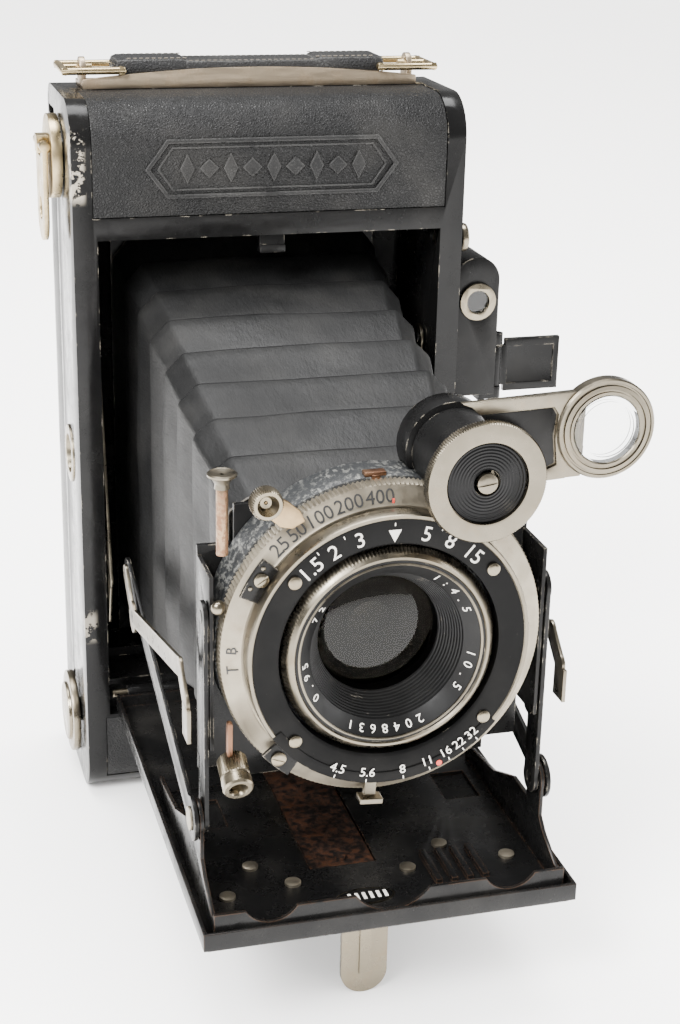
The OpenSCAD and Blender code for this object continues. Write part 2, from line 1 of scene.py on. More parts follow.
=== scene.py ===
"""Looks of the folding camera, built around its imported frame. Metres; X right, -Y forward, Z up."""

import json
from math import atan2, cos, hypot, pi, radians, sin

import bpy
from mathutils import Matrix, Vector

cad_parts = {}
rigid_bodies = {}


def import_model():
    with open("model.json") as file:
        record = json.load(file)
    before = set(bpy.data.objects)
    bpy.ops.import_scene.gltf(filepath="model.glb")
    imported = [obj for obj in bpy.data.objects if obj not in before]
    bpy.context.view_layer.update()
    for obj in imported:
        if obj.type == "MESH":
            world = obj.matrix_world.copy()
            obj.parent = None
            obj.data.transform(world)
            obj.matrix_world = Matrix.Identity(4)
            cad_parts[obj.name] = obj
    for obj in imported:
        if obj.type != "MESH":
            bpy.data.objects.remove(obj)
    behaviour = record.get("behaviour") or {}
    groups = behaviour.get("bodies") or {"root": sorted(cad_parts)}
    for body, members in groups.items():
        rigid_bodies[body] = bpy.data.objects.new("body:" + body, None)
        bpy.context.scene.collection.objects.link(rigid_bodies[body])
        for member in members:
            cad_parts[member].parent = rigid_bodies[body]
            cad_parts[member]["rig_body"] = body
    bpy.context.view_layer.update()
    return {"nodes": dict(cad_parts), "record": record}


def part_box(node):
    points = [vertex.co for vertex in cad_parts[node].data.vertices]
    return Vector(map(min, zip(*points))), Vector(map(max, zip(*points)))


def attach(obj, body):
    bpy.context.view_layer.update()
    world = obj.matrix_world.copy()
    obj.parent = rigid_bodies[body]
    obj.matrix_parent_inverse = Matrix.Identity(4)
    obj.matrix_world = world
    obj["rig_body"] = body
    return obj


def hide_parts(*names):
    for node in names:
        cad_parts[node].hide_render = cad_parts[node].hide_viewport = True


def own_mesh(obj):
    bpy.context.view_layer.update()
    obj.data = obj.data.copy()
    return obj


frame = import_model()
MM = 0.001

# ---------------------------------------------------------------- places taken from the frame

NODES = frame["nodes"]


def middle(node):
    low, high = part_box(node)
    return (low + high) / 2


LENS = middle("face_plate")
LENS_X, LENS_Z = LENS.x, LENS.z
WHEEL = middle("focus_wheel")
WEDGE = middle("wedge_glass")
STRAP_LOW, STRAP_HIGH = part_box("strap")


# ---------------------------------------------------------------- small tools

def deselect():
    if bpy.context.object and bpy.context.object.mode == "EDIT":
        bpy.ops.object.mode_set(mode="OBJECT")
    bpy.ops.object.select_all(action="DESELECT")


def only(piece):
    deselect()
    piece.select_set(True)
    bpy.context.view_layer.objects.active = piece


def edit(piece, kind="VERT"):
    only(piece)
    bpy.ops.object.mode_set(mode="EDIT")
    bpy.ops.mesh.select_mode(type=kind)
    bpy.ops.mesh.select_all(action="DESELECT")


def leave():
    bpy.ops.object.mode_set(mode="OBJECT")


def settle(piece):
    """Puts the object at the origin, with its place in its mesh."""
    only(piece)
    bpy.ops.object.transform_apply(location=True, rotation=True, scale=True)


def modify(piece, kind, **values):
    only(piece)
    modifier = piece.modifiers.new(kind.lower(), kind)
    for key, value in values.items():
        setattr(modifier, key, value)
    bpy.ops.object.modifier_apply(modifier=modifier.name)


def smooth(piece, angle=35):
    only(piece)
    bpy.ops.object.shade_smooth_by_angle(angle=radians(angle))


def close_up(piece, gap=0.002 * MM):
    """Merges doubles and turns all faces outwards."""
    edit(piece)
    bpy.ops.mesh.select_all(action="SELECT")
    bpy.ops.mesh.remove_doubles(threshold=gap)
    bpy.ops.mesh.normals_make_consistent(inside=False)
    leave()


def pick(piece, test, kind="VERT"):
    """Selects the vertices or faces whose place passes the test, in edit mode."""
    edit(piece, kind)
    leave()
    items = piece.data.vertices if kind == "VERT" else piece.data.polygons
    for item in items:
        place = item.co if kind == "VERT" else item.center
        item.select = test(place)
    bpy.ops.object.mode_set(mode="EDIT")


def named(name):
    piece = bpy.context.object
    piece.name = name
    piece.data.name = name
    return piece


def finish_piece(piece, material, body, slot, *replaced):
    piece.data.materials.clear()
    piece.data.materials.append(material)
    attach(piece, body)
    if replaced:
        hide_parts(*replaced)
    return piece


def joined(name, pieces):
    deselect()
    for piece in pieces:
        piece.select_set(True)
    bpy.context.view_layer.objects.active = pieces[0]
    if len(pieces) > 1:
        bpy.ops.object.join()
    return named(name)


def turned(name, centre, outline, steps=160, loop=True):
    """A turned part about the Y axis: outline is (radius, y) in mm. A loop closes on its start."""
    x, z = centre
    deselect()
    radius, y = outline[0]
    bpy.ops.mesh.primitive_circle_add(
        vertices=steps, radius=radius * MM, location=(x, y * MM, z), rotation=(pi / 2, 0, 0))
    piece = named(name)
    settle(piece)
    edit(piece, "EDGE")
    bpy.ops.mesh.select_all(action="SELECT")
    rest = outline[1:] + ([outline[0]] if loop else [])
    for next_radius, next_y in rest:
        bpy.ops.mesh.extrude_region_move(TRANSFORM_OT_translate={"value": (0, (next_y - y) * MM, 0)})
        factor = next_radius / radius
        bpy.ops.transform.resize(value=(factor, 1, factor), center_override=(x, next_y * MM, z))
        radius, y = next_radius, next_y
    leave()
    if not loop:
        edit(piece, "EDGE")
        bpy.ops.mesh.select_all(action="SELECT")
        bpy.ops.mesh.fill_holes(sides=0)
        leave()
    close_up(piece)
    return piece


def serrate(piece, centre, beyond, depth, teeth, band=None):
    """Cuts fine teeth round a turned part: every other step outside `beyond` mm is pulled in."""
    x, z = centre

    def valley(place):
        out = hypot(place.x - x, place.z - z)
        turn = atan2(place.z - z, place.x - x) / (2 * pi) * teeth * 2
        inside = band is None or band[0] * MM < place.y < band[1] * MM
        return out > beyond * MM and round(turn) % 2 == 0 and inside

    pick(piece, valley)
    factor = 1 - depth / beyond
    bpy.ops.transform.resize(value=(factor, 1, factor), center_override=(x, 0, z))
    leave()


def block(name, low, high, edge=0.2, turn=None):
    """A rounded block between two corners in metres; turn is (degrees, axis, point)."""
    low, high = Vector(low), Vector(high)
    deselect()
    bpy.ops.mesh.primitive_cube_add(size=1, location=(low + high) / 2)
    piece = named(name)
    piece.scale = high - low
    settle(piece)
    edit(piece, "EDGE")
    bpy.ops.mesh.select_all(action="SELECT")
    bpy.ops.mesh.bevel(offset=edge * MM, segments=2, affect="EDGES")
    if turn:
        angle, axis, point = turn
        bpy.ops.mesh.select_all(action="SELECT")
        bpy.ops.transform.rotate(value=-radians(angle), orient_axis=axis, center_override=point)
    leave()
    smooth(piece)
    return piece


def domed_pin(name, place, axis, radius, height, steps=32, slot_turn=None):
    """A rivet or screw head: a domed disc on `place`, facing along `axis`."""
    deselect()
    bpy.ops.mesh.primitive_cylinder_add(vertices=steps, radius=radius * MM, depth=height * MM)
    piece = named(name)
    edit(piece, "FACE")
    leave()
    for face in piece.data.polygons:
        face.select = face.normal.z > 0.9
    bpy.ops.object.mode_set(mode="EDIT")
    for inset, lift in ((0.22, 0.24), (0.3, 0.14)):
        bpy.ops.mesh.inset(thickness=radius * inset * MM)
        bpy.ops.transform.translate(value=(0, 0, height * lift * MM))
    leave()
    if slot_turn is not None:
        cutter = block(name + "_cut", (-radius * 1.2 * MM, -radius * 0.14 * MM, height * 0.45 * MM),
                       (radius * 1.2 * MM, radius * 0.14 * MM, height * 2 * MM), edge=0.02)
        cutter.rotation_euler.z = radians(slot_turn)
        settle(cutter)
        modify(piece, "BOOLEAN", operation="DIFFERENCE", object=cutter, solver="EXACT")
        bpy.data.objects.remove(cutter)
    piece.rotation_mode = "QUATERNION"
    piece.rotation_quaternion = Vector((0, 0, 1)).rotation_difference(Vector(axis))
    piece.location = place
    settle(piece)
    smooth(piece, 40)
    return piece


def flat_outline(name, points, y, thickness, edge=0.15):
    """A plate cut to an outline of (x, z) points in mm, its front face at y, extruded backwards."""
    deselect()
    bpy.ops.mesh.primitive_circle_add(vertices=len(points), radius=MM, fill_type="NGON")
    piece = named(name)
    for vertex, (x, z) in zip(piece.data.vertices, points):
        vertex.co = (x * MM, y * MM, z * MM)
    edit(piece, "FACE")
    bpy.ops.mesh.select_all(action="SELECT")
    bpy.ops.mesh.extrude_region_move(TRANSFORM_OT_translate={"value": (0, thickness * MM, 0)})
    leave()
    close_up(piece)
    if edge:
        modify(piece, "BEVEL", width=edge * MM, segments=2, limit_method="ANGLE", angle_limit=radians(40))
    smooth(piece)
    return piece


def lettering(text, size, height=0.08):
    """Figures as a thin mesh standing in the XZ plane, centred on the origin, facing -Y."""
    deselect()
    bpy.ops.object.text_add()
    figure = bpy.context.object
    figure.data.body = text
    figure.data.size = size * MM
    figure.data.align_x = "CENTER"
    figure.data.align_y = "CENTER"
    figure.data.extrude = height * MM / 2
    figure.data.resolution_u = 3
    bpy.ops.object.convert(target="MESH")
    figure = bpy.context.object
    figure.rotation_euler = (pi / 2, 0, 0)
    settle(figure)
    return figure


def figures_round(name, centre, y, radius, marks, size, upright=True, tilt=0.0):
    """Figures set round a dial. marks is a list of (text, degrees from +X towards +Z)."""
    x, z = centre
    pieces = []
    for text, angle in marks:
        figure = lettering(text, size)
        turn = radians(90 - angle if upright else 270 - angle)
        lean = Matrix.Rotation(radians(tilt if upright else -tilt), 4, "X")
        place = Vector((x + radius * cos(radians(angle)) * MM, y * MM, z + radius * sin(radians(angle)) * MM))
        figure.data.transform(Matrix.Translation(place) @ Matrix.Rotation(turn, 4, "Y") @ lean)
        pieces.append(figure)
    return joined(name, pieces)


# ---------------------------------------------------------------- node groups and materials

def new_group(name, inputs, outputs):
    group = bpy.data.node_groups.new(name, "ShaderNodeTree")
    for label, kind, value in inputs:
        socket = group.interface.new_socket(label, in_out="INPUT", socket_type=kind)
        if value is not None:
            socket.default_value = value
    for label, kind in outputs:
        group.interface.new_socket(label, in_out="OUTPUT", socket_type=kind)
    start = group.nodes.new("NodeGroupInput")
    end = group.nodes.new("NodeGroupOutput")
    return group, start, end


class Desk:
    """Adds and links nodes in one tree."""

    def __init__(self, tree):
        self.tree = tree

    def add(self, kind, settings=None, **inputs):
        node = self.tree.nodes.new("ShaderNode" + kind)
        for key, value in (settings or {}).items():
            setattr(node, key, value)
        for key, value in inputs.items():
            self.feed(node.inputs[key.replace("_", " ")], value)
        return node

    def feed(self, socket, value):
        if isinstance(value, bpy.types.NodeSocket):
            self.tree.links.new(value, socket)
        else:
            socket.default_value = value

    def maths(self, operation, first, second=0.0, clamp=False):
        node = self.add("Math", {"operation": operation, "use_clamp": clamp})
        self.feed(node.inputs[0], first)
        self.feed(node.inputs[1], second)
        return node.outputs[0]

    def noise(self, vector, scale, detail=3.0, roughness=0.55):
        node = self.add("TexNoise", None, Vector=vector, Scale=scale, Detail=detail, Roughness=roughness)
        return node.outputs["Fac"]

    def cells(self, vector, scale, feature="F1"):
        node = self.add("TexVoronoi", {"feature": feature}, Vector=vector, Scale=scale)
        return node.outputs["Distance"]

    def step(self, value, low, high, to_low=0.0, to_high=1.0):
        node = self.add("MapRange", {"interpolation_type": "SMOOTHSTEP"})
        for socket, number in zip(node.inputs, (value, low, high, to_low, to_high)):
            self.feed(socket, number)
        return node.outputs[0]

    def mix(self, factor, first, second):
        node = self.add("Mix", {"data_type": "RGBA"})
        self.feed(node.inputs[0], factor)
        self.feed(node.inputs[6], first)
        self.feed(node.inputs[7], second)
        return node.outputs[2]

    def place(self):
        return self.add("TexCoord").outputs["Object"]

    def bump(self, height, strength, distance):
        node = self.add("Bump", None, Height=height)
        node.inputs["Strength"].default_value = strength
        node.inputs["Distance"].default_value = distance * MM
        return node.outputs["Normal"]

    def group(self, tree, **inputs):
        node = self.tree.nodes.new("ShaderNodeGroup")
        node.node_tree = tree
        for key, value in inputs.items():
            self.feed(node.inputs[key.replace("_", " ")], value)
        return node


def wear_group():
    """Bare patches along sharp edges, broken up by noise."""
    group, start, end = new_group(
        "edge_wear",
        [("Vector", "NodeSocketVector", None), ("Reach", "NodeSocketFloat", 0.2),
         ("Width", "NodeSocketFloat", 0.0004), ("Size", "NodeSocketFloat", 300.0)],
        [("Mask", "NodeSocketFloat")])
    desk = Desk(group)
    rounded = desk.add("Bevel", {"samples": 4}, Radius=start.outputs["Width"])
    turn = desk.add("VectorMath", {"operation": "DOT_PRODUCT"})
    desk.feed(turn.inputs[0], rounded.outputs[0])
    desk.feed(turn.inputs[1], desk.add("NewGeometry").outputs["Normal"])
    ridge = desk.step(turn.outputs["Value"], 0.99, 0.9)
    patch = desk.noise(start.outputs["Vector"], start.outputs["Size"], 5.0, 0.65)
    strong = desk.maths("MULTIPLY", ridge, desk.maths("MULTIPLY", patch, 1.6))
    above = desk.maths("SUBTRACT", strong, desk.maths("SUBTRACT", 1.0, start.outputs["Reach"]))
    desk.feed(end.inputs["Mask"], desk.maths("MULTIPLY", above, 8.0, clamp=True))
    return group


def chip_group():
    """A few chips of lost enamel high on the front rails of the body."""
    group, start, end = new_group("chips", [("Vector", "NodeSocketVector", None)],
                                  [("Mask", "NodeSocketFloat")])
    desk = Desk(group)
    parts = desk.add("SeparateXYZ")
    desk.feed(parts.inputs[0], start.outputs["Vector"])
    flakes = desk.step(desk.noise(start.outputs["Vector"], 210.0, 5.0, 0.7), 0.49, 0.52)
    rail = desk.step(desk.maths("ABSOLUTE", parts.outputs[0]), 0.0425, 0.0440)
    left = desk.step(desk.maths("ABSOLUTE", desk.maths("SUBTRACT", parts.outputs[2], 0.158)), 0.0088, 0.0062)
    front = desk.step(parts.outputs[1], -0.0125, -0.0165)
    low = desk.step(desk.maths("ABSOLUTE", desk.maths("SUBTRACT", parts.outputs[2], 0.047)), 0.005, 0.002)
    side = desk.step(parts.outputs[0], -0.02, -0.03)
    spread = desk.maths("ADD", desk.maths("MULTIPLY", left, side), desk.maths("MULTIPLY", low, 0.6))
    high = desk.maths("MULTIPLY", spread, front)
    desk.feed(end.inputs["Mask"], desk.maths("MULTIPLY", desk.maths("MULTIPLY", high, rail), flakes))
    return group


def dust_group():
    """Fine pale dust: specks, and a thin film that gathers in clouds."""
    group, start, end = new_group(
        "dust",
        [("Vector", "NodeSocketVector", None), ("Amount", "NodeSocketFloat", 0.3)],
        [("Mask", "NodeSocketFloat")])
    desk = Desk(group)
    specks = desk.step(desk.cells(start.outputs["Vector"], 900.0), 0.16, 0.06)
    sparse = desk.step(desk.noise(start.outputs["Vector"], 420.0, 2.0), 0.56, 0.66)
    cloud = desk.step(desk.noise(start.outputs["Vector"], 60.0, 5.0), 0.42, 0.75, 0.0, 0.35)
    both = desk.maths("ADD", desk.maths("MULTIPLY", specks, sparse), cloud)
    desk.feed(end.inputs["Mask"], desk.maths("MULTIPLY", both, start.outputs["Amount"], clamp=True))
    return group


def grain_group():
    """Pebbled leather: rounded cells with fine creases between them."""
    group, start, end = new_group(
        "leather_grain",
        [("Vector", "NodeSocketVector", None), ("Size", "NodeSocketFloat", 1100.0)],
        [("Height", "NodeSocketFloat"), ("Crease", "NodeSocketFloat")])
    desk = Desk(group)
    bend = desk.add("TexNoise", None, Vector=start.outputs["Vector"], Scale=500.0, Detail=2.0)
    shift = desk.add("VectorMath", {"operation": "SCALE"})
    desk.feed(shift.inputs[0], bend.outputs["Color"])
    shift.inputs["Scale"].default_value = 0.0011
    moved = desk.add("VectorMath", {"operation": "ADD"})
    desk.feed(moved.inputs[0], start.outputs["Vector"])
    desk.feed(moved.inputs[1], shift.outputs[0])
    edges = desk.add("TexVoronoi", {"feature": "DISTANCE_TO_EDGE"}, Vector=moved.outputs[0],
                     Scale=start.outputs["Size"]).outputs["Distance"]
    pebble = desk.step(edges, 0.0, 0.32)
    fine = desk.noise(start.outputs["Vector"], 2600.0, 3.0)
    height = desk.maths("ADD", pebble, desk.maths("MULTIPLY", fine, 0.25))
    desk.feed(end.inputs["Height"], height)
    desk.feed(end.inputs["Crease"], desk.step(edges, 0.1, 0.0))
    return group


WEAR, DUST, GRAIN, CHIPS = wear_group(), dust_group(), grain_group(), chip_group()


def new_material(name):
    material = bpy.data.materials.new(name)
    material.use_nodes = True
    shader = material.node_tree.nodes["Principled BSDF"]
    return material, Desk(material.node_tree), shader


def enamel(name, black=0.0022, gloss=0.14, reach=0.14, bare=(0.3, 0.27, 0.22, 1), dust=0.05, wear_size=260.0,
           shine=0.16, chipped=False):
    """Stoved black enamel: shiny, a little wavy, worn to metal along the edges."""
    material, desk, shader = new_material(name)
    place = desk.place()
    wear = desk.group(WEAR, Vector=place, Reach=reach, Size=wear_size).outputs[0]
    if chipped:
        wear = desk.maths("MAXIMUM", wear, desk.group(CHIPS, Vector=place).outputs[0])
    film = desk.group(DUST, Vector=place, Amount=dust).outputs[0]
    tone = desk.mix(desk.noise(place, 90.0), (black, black, black * 1.05, 1),
                    (black * 2, black * 1.95, black * 1.9, 1))
    dusty = desk.mix(film, tone, (0.14, 0.13, 0.115, 1))
    desk.feed(shader.inputs["Base Color"], desk.mix(wear, dusty, bare))
    desk.feed(shader.inputs["Metallic"], desk.maths("MULTIPLY", wear, 0.5))
    scuff = desk.step(desk.noise(place, 140.0, 6.0, 0.7), 0.35, 0.75, gloss, gloss + 0.2)
    desk.feed(shader.inputs["Roughness"], desk.maths("ADD", scuff, desk.maths("MULTIPLY", film, 0.5)))
    peel = desk.noise(place, 520.0, 2.0)
    height = desk.maths("SUBTRACT", desk.maths("MULTIPLY", peel, 0.35), wear)
    desk.feed(shader.inputs["Normal"], desk.bump(height, 0.3, 0.1))
    shader.inputs["Specular IOR Level"].default_value = shine
    return material


def plated(name, colour=(0.21, 0.182, 0.134, 1), rough=0.22, stain=0.4, brushed=None, rust=0.0):
    """Old nickel plate: warm grey, hazed, with brown stains; brushed stretches the haze along an axis."""
    material, desk, shader = new_material(name)
    place = desk.place()
    lay = place
    if brushed:
        lay = desk.add("Mapping", None, Vector=place, Scale=brushed).outputs[0]
    haze = desk.noise(lay, 900.0 if brushed else 240.0, 4.0, 0.65)
    spots = desk.step(desk.noise(place, 150.0, 6.0, 0.7), 0.5, 0.72, 0.0, stain)
    brown = desk.mix(spots, colour, (0.23, 0.165, 0.1, 1))
    rusty = desk.step(desk.noise(place, 700.0, 5.0, 0.7), 0.62 - rust * 0.4, 0.7 - rust * 0.3,
                      0.0, min(rust * 2, 1))
    desk.feed(shader.inputs["Base Color"], desk.mix(rusty, brown, (0.16, 0.07, 0.03, 1)))
    desk.feed(shader.inputs["Metallic"], desk.maths("SUBTRACT", 1.0, desk.maths("MULTIPLY", rusty, 0.8)))
    shine = desk.maths("ADD", desk.step(haze, 0.3, 0.75, rough, rough + 0.2),
                       desk.maths("MULTIPLY", spots, 0.3))
    dulled = desk.maths("ADD", shine, desk.maths("MULTIPLY", rusty, 0.4), clamp=True)
    desk.feed(shader.inputs["Roughness"], dulled)
    desk.feed(shader.inputs["Normal"], desk.bump(haze, 0.12 if brushed else 0.06, 0.05))
    return material


def hide(name, tone=0.006, pale=0.028, size=1100.0, depth=0.22):
    """Pebbled leather, paler where it is rubbed, with fine dust."""
    material, desk, shader = new_material(name)
    place = desk.place()
    grain = desk.group(GRAIN, Vector=place, Size=size)
    rubbed = desk.step(desk.noise(place, 45.0, 5.0), 0.45, 0.75, 0.0, 0.6)
    top = desk.maths("MULTIPLY", rubbed, grain.outputs["Height"])
    # Pale edges: rubbed wear; on the embossed panel leather, whose pale colour is much paler, they are also a
    # painted highlight on the raised lines.
    edge = desk.group(WEAR, Vector=place, Reach=0.45, Width=0.0006).outputs[0]
    lift = desk.maths("MAXIMUM", top, desk.maths("MULTIPLY", edge, 0.8))
    colour = desk.mix(lift, (tone, tone, tone * 1.04, 1), (pale, pale * 0.99, pale * 0.95, 1))
    dust = desk.group(DUST, Vector=place, Amount=0.14).outputs[0]
    desk.feed(shader.inputs["Base Color"], desk.mix(dust, colour, (0.12, 0.11, 0.095, 1)))
    shader.inputs["Specular IOR Level"].default_value = 0.24
    desk.feed(shader.inputs["Roughness"], desk.step(grain.outputs["Height"], 0.2, 1.2, 0.62, 0.36))
    desk.feed(shader.inputs["Normal"], desk.bump(grain.outputs["Height"], 0.8, depth))
    return material


def bellows_cloth():
    """Thin black leathercloth, greyed by age, with pale rubbed folds and a fine woven ground."""
    material, desk, shader = new_material("bellows_cloth")
    place = desk.place()
    ridge = desk.group(WEAR, Vector=place, Reach=0.58, Width=0.0009, Size=420.0).outputs[0]
    cloud = desk.noise(place, 55.0, 6.0, 0.6)
    ground = desk.mix(cloud, (0.0016, 0.0017, 0.0018, 1), (0.0056, 0.0056, 0.0056, 1))
    colour = desk.mix(desk.maths("MULTIPLY", ridge, 0.8), ground, (0.1, 0.09, 0.074, 1))
    dust = desk.group(DUST, Vector=place, Amount=0.16).outputs[0]
    desk.feed(shader.inputs["Base Color"], desk.mix(dust, colour, (0.1, 0.095, 0.085, 1)))
    desk.feed(shader.inputs["Roughness"], desk.step(cloud, 0.3, 0.7, 0.46, 0.62))
    lay = desk.add("Mapping", None, Vector=place, Scale=(1.0, 0.35, 1.0)).outputs[0]
    fine = desk.noise(lay, 1500.0, 4.0, 0.7)
    soft = desk.noise(lay, 160.0, 4.0, 0.6)
    height = desk.maths("ADD", desk.maths("MULTIPLY", fine, 0.35), soft)
    desk.feed(shader.inputs["Normal"], desk.bump(height, 0.8, 0.4))
    shader.inputs["Specular IOR Level"].default_value = 0.24
    return material


def crackle():
    """Shutter rim: dark wrinkle finish with bright worn crests."""
    material, desk, shader = new_material("crackle_rim")
    place = desk.place()
    lay = desk.add("Mapping", None, Vector=place, Scale=(1.0, 0.55, 1.0)).outputs[0]
    wrinkle = desk.noise(lay, 950.0, 5.0, 0.75)
    crest = desk.step(wrinkle, 0.5, 0.6)
    patch = desk.step(desk.noise(place, 90.0, 3.0), 0.38, 0.6, 0.15, 1.0)
    bright = desk.maths("MULTIPLY", crest, patch)
    desk.feed(shader.inputs["Base Color"], desk.mix(bright, (0.012, 0.013, 0.014, 1), (0.2, 0.2, 0.185, 1)))
    desk.feed(shader.inputs["Metallic"], desk.maths("MULTIPLY", bright, 0.7))
    desk.feed(shader.inputs["Roughness"], desk.step(wrinkle, 0.3, 0.7, 0.55, 0.32))
    desk.feed(shader.inputs["Normal"], desk.bump(wrinkle, 0.9, 0.25))
    return material


def optical_glass(name, tint=(0.97, 0.98, 0.97, 1), far=(0.9, 0.92, 0.93, 1), index=1.52):
    """Clean glass with the faintest film of haze."""
    material, desk, shader = new_material(name)
    haze = desk.noise(desk.place(), 200.0, 4.0)
    desk.feed(shader.inputs["Roughness"], desk.step(haze, 0.4, 0.8, 0.0, 0.01))
    desk.feed(shader.inputs["Base Color"], desk.mix(haze, tint, far))
    shader.inputs["Transmission Weight"].default_value = 1.0
    shader.inputs["IOR"].default_value = index
    return material


def ink(name, colour):
    """Filled figures: matt paint, slightly uneven."""
    material, desk, shader = new_material(name)
    uneven = desk.noise(desk.place(), 1200.0, 3.0)
    faded = tuple(c * 0.72 for c in colour[:3]) + (1,)
    desk.feed(shader.inputs["Base Color"], desk.mix(uneven, faded, colour))
    desk.feed(shader.inputs["Roughness"], desk.step(uneven, 0.3, 0.7, 0.45, 0.6))
    return material


def rusty_brown():
    """Brown sheet metal, its paint pitted by rust."""
    material, desk, shader = new_material("rusty_strip")
    place = desk.place()
    pits = desk.step(desk.noise(place, 620.0, 6.0, 0.75), 0.42, 0.6)
    patch = desk.noise(place, 120.0, 5.0)
    brown = desk.mix(patch, (0.008, 0.0035, 0.0018, 1), (0.05, 0.019, 0.008, 1))
    desk.feed(shader.inputs["Base Color"], desk.mix(pits, (0.004, 0.003, 0.0025, 1), brown))
    desk.feed(shader.inputs["Roughness"], desk.step(patch, 0.3, 0.7, 0.5, 0.8))
    desk.feed(shader.inputs["Normal"], desk.bump(pits, 0.5, 0.15))
    shader.inputs["Specular IOR Level"].default_value = 0.15
    return material


def grooved_black(centre, pitch):
    """Black disc turned with fine concentric grooves about the Y axis through its middle."""
    material, desk, shader = new_material("grooved_black")
    x, z = centre
    moved = desk.add("Mapping", None, Vector=desk.place(), Location=(-x, 0.0, -z)).outputs[0]
    flat = desk.add("VectorMath", {"operation": "MULTIPLY"})
    desk.feed(flat.inputs[0], moved)
    flat.inputs[1].default_value = (1.0, 0.0, 1.0)
    length = desk.add("VectorMath", {"operation": "LENGTH"})
    desk.feed(length.inputs[0], flat.outputs[0])
    wave = desk.maths("SINE", desk.maths("MULTIPLY", length.outputs["Value"], 2 * pi / (pitch * MM)))
    film = desk.group(DUST, Vector=desk.place(), Amount=0.15).outputs[0]
    desk.feed(shader.inputs["Base Color"], desk.mix(film, (0.0015, 0.0015, 0.0017, 1), (0.04, 0.038, 0.036, 1)))
    desk.feed(shader.inputs["Roughness"], desk.step(desk.noise(desk.place(), 500.0), 0.3, 0.7, 0.26, 0.36))
    desk.feed(shader.inputs["Normal"], desk.bump(wave, 0.5, 0.1))
    shader.inputs["Specular IOR Level"].default_value = 0.14
    return material


M = {
    "enamel": enamel("black_enamel", reach=0.12, chipped=True),
    "bed": enamel("bed_enamel", black=0.0025, gloss=0.2, reach=0.4, bare=(0.06, 0.034, 0.02, 1), dust=0.16),
    "satin": enamel("black_satin", black=0.0025, gloss=0.24, reach=0.18, dust=0.1, shine=0.14),
    "face": enamel("face_enamel", black=0.0015, gloss=0.3, reach=0.0, dust=0.08, shine=0.07),
    "inner": enamel("inner_black", black=0.003, gloss=0.3, reach=0.0, dust=0.06, shine=0.16),
    "nickel": plated("nickel"),
    "pale": plated("pale_nickel", colour=(0.165, 0.146, 0.112, 1), rough=0.24, stain=0.3),
    "dial": plated("dial_nickel", colour=(0.3, 0.265, 0.205, 1), rough=0.42, stain=0.25),
    "brass": plated("worn_brass", colour=(0.34, 0.24, 0.13, 1), rough=0.34, stain=0.3),
    "copper": plated("brown_copper", colour=(0.17, 0.09, 0.055, 1), rough=0.35, stain=0.5),
    "rusted": plated("rusted_nickel", colour=(0.27, 0.18, 0.11, 1), rust=0.42, stain=0.6),
    "steel": plated("dark_steel", colour=(0.05, 0.046, 0.042, 1), rough=0.3, stain=0.1),
    "blades": enamel("blade_black", black=0.003, gloss=0.4, reach=0.0, dust=0.0, shine=0.1),
    "plate": plated("top_plate_nickel", colour=(0.42, 0.34, 0.245, 1), rough=0.34, stain=0.55,
                    brushed=(0.1, 1.0, 1.0)),
    "gold": plated("yellowed_nickel", colour=(0.44, 0.35, 0.2, 1), rough=0.22, stain=0.4),
    "hide": hide("pebbled_leather", tone=0.003, pale=0.016, size=1600.0, depth=0.16),
    # Embossed panel leather: its much paler edge colour is a painted highlight on the raised lines, over rubbed
    # wear.
    "panel": hide("panel_leather_painted_highlight", tone=0.005, pale=0.045, size=1900.0, depth=0.06),
    "strap": hide("strap_leather", tone=0.008, pale=0.06, size=1300.0, depth=0.14),
    "cloth": bellows_cloth(),
    "crackle": crackle(),
    "glass": optical_glass("lens_glass"),
    # Front lens: its dark grey-brown tint is a painted reflection, standing in for the grey-brown studio light
    # reflected in the glass.
    "lens": optical_glass("front_lens_glass_painted_reflection", tint=(0.2, 0.185, 0.155, 1), far=(0.17, 0.155, 0.13, 1),
                          index=1.27),
    "white": ink("white_fill", (0.6, 0.58, 0.53, 1)),
    "black": ink("black_fill", (0.012, 0.012, 0.012, 1)),
    "thread": ink("waxed_thread", (0.1, 0.085, 0.065, 1)),
    "red": ink("red_fill", (0.5, 0.04, 0.02, 1)),
    "rust": rusty_brown(),
    "ruby": optical_glass("ruby_window", tint=(0.45, 0.02, 0.01, 1), far=(0.35, 0.02, 0.01, 1)),
    "spool": enamel("spool_red", black=0.05, reach=0.3),
    "grooved": grooved_black((WHEEL.x, WHEEL.z), 0.62),
}

# ---------------------------------------------------------------- stage, light and camera

CAMERA_PLACE = Vector((-0.0992, -0.4217, 0.2335))
VIEW_AZIMUTH, VIEW_HEIGHT, VIEW_ROLL = -16.16, 21.1, 1.36
FOCAL = 64.2
SENSOR = 36.0


def camera():
    deselect()
    bpy.ops.object.camera_add(location=CAMERA_PLACE)
    eye = bpy.context.object
    eye.data.sensor_fit = "VERTICAL"
    eye.data.sensor_height = SENSOR
    eye.data.lens = FOCAL
    eye.data.clip_start = 0.01
    turn, rise = radians(VIEW_AZIMUTH), radians(VIEW_HEIGHT)
    back = Vector((sin(turn) * cos(rise), -cos(turn) * cos(rise), sin(rise)))
    aim = (-back).to_track_quat("-Z", "Y").to_matrix().to_4x4()
    eye.matrix_world = Matrix.Translation(CAMERA_PLACE) @ aim @ Matrix.Rotation(radians(VIEW_ROLL), 4, "Z")
    bpy.context.scene.camera = eye


def lamp(name, place, target, power, size):
    deselect()
    bpy.ops.object.light_add(type="AREA", location=place)
    light = bpy.context.object
    light.name = name
    light.data.energy = power
    light.data.shape = "RECTANGLE"
    light.data.size, light.data.size_y = size
    aim = Vector(target) - Vector(place)
    light.rotation_euler = aim.to_track_quat("-Z", "Y").to_euler()


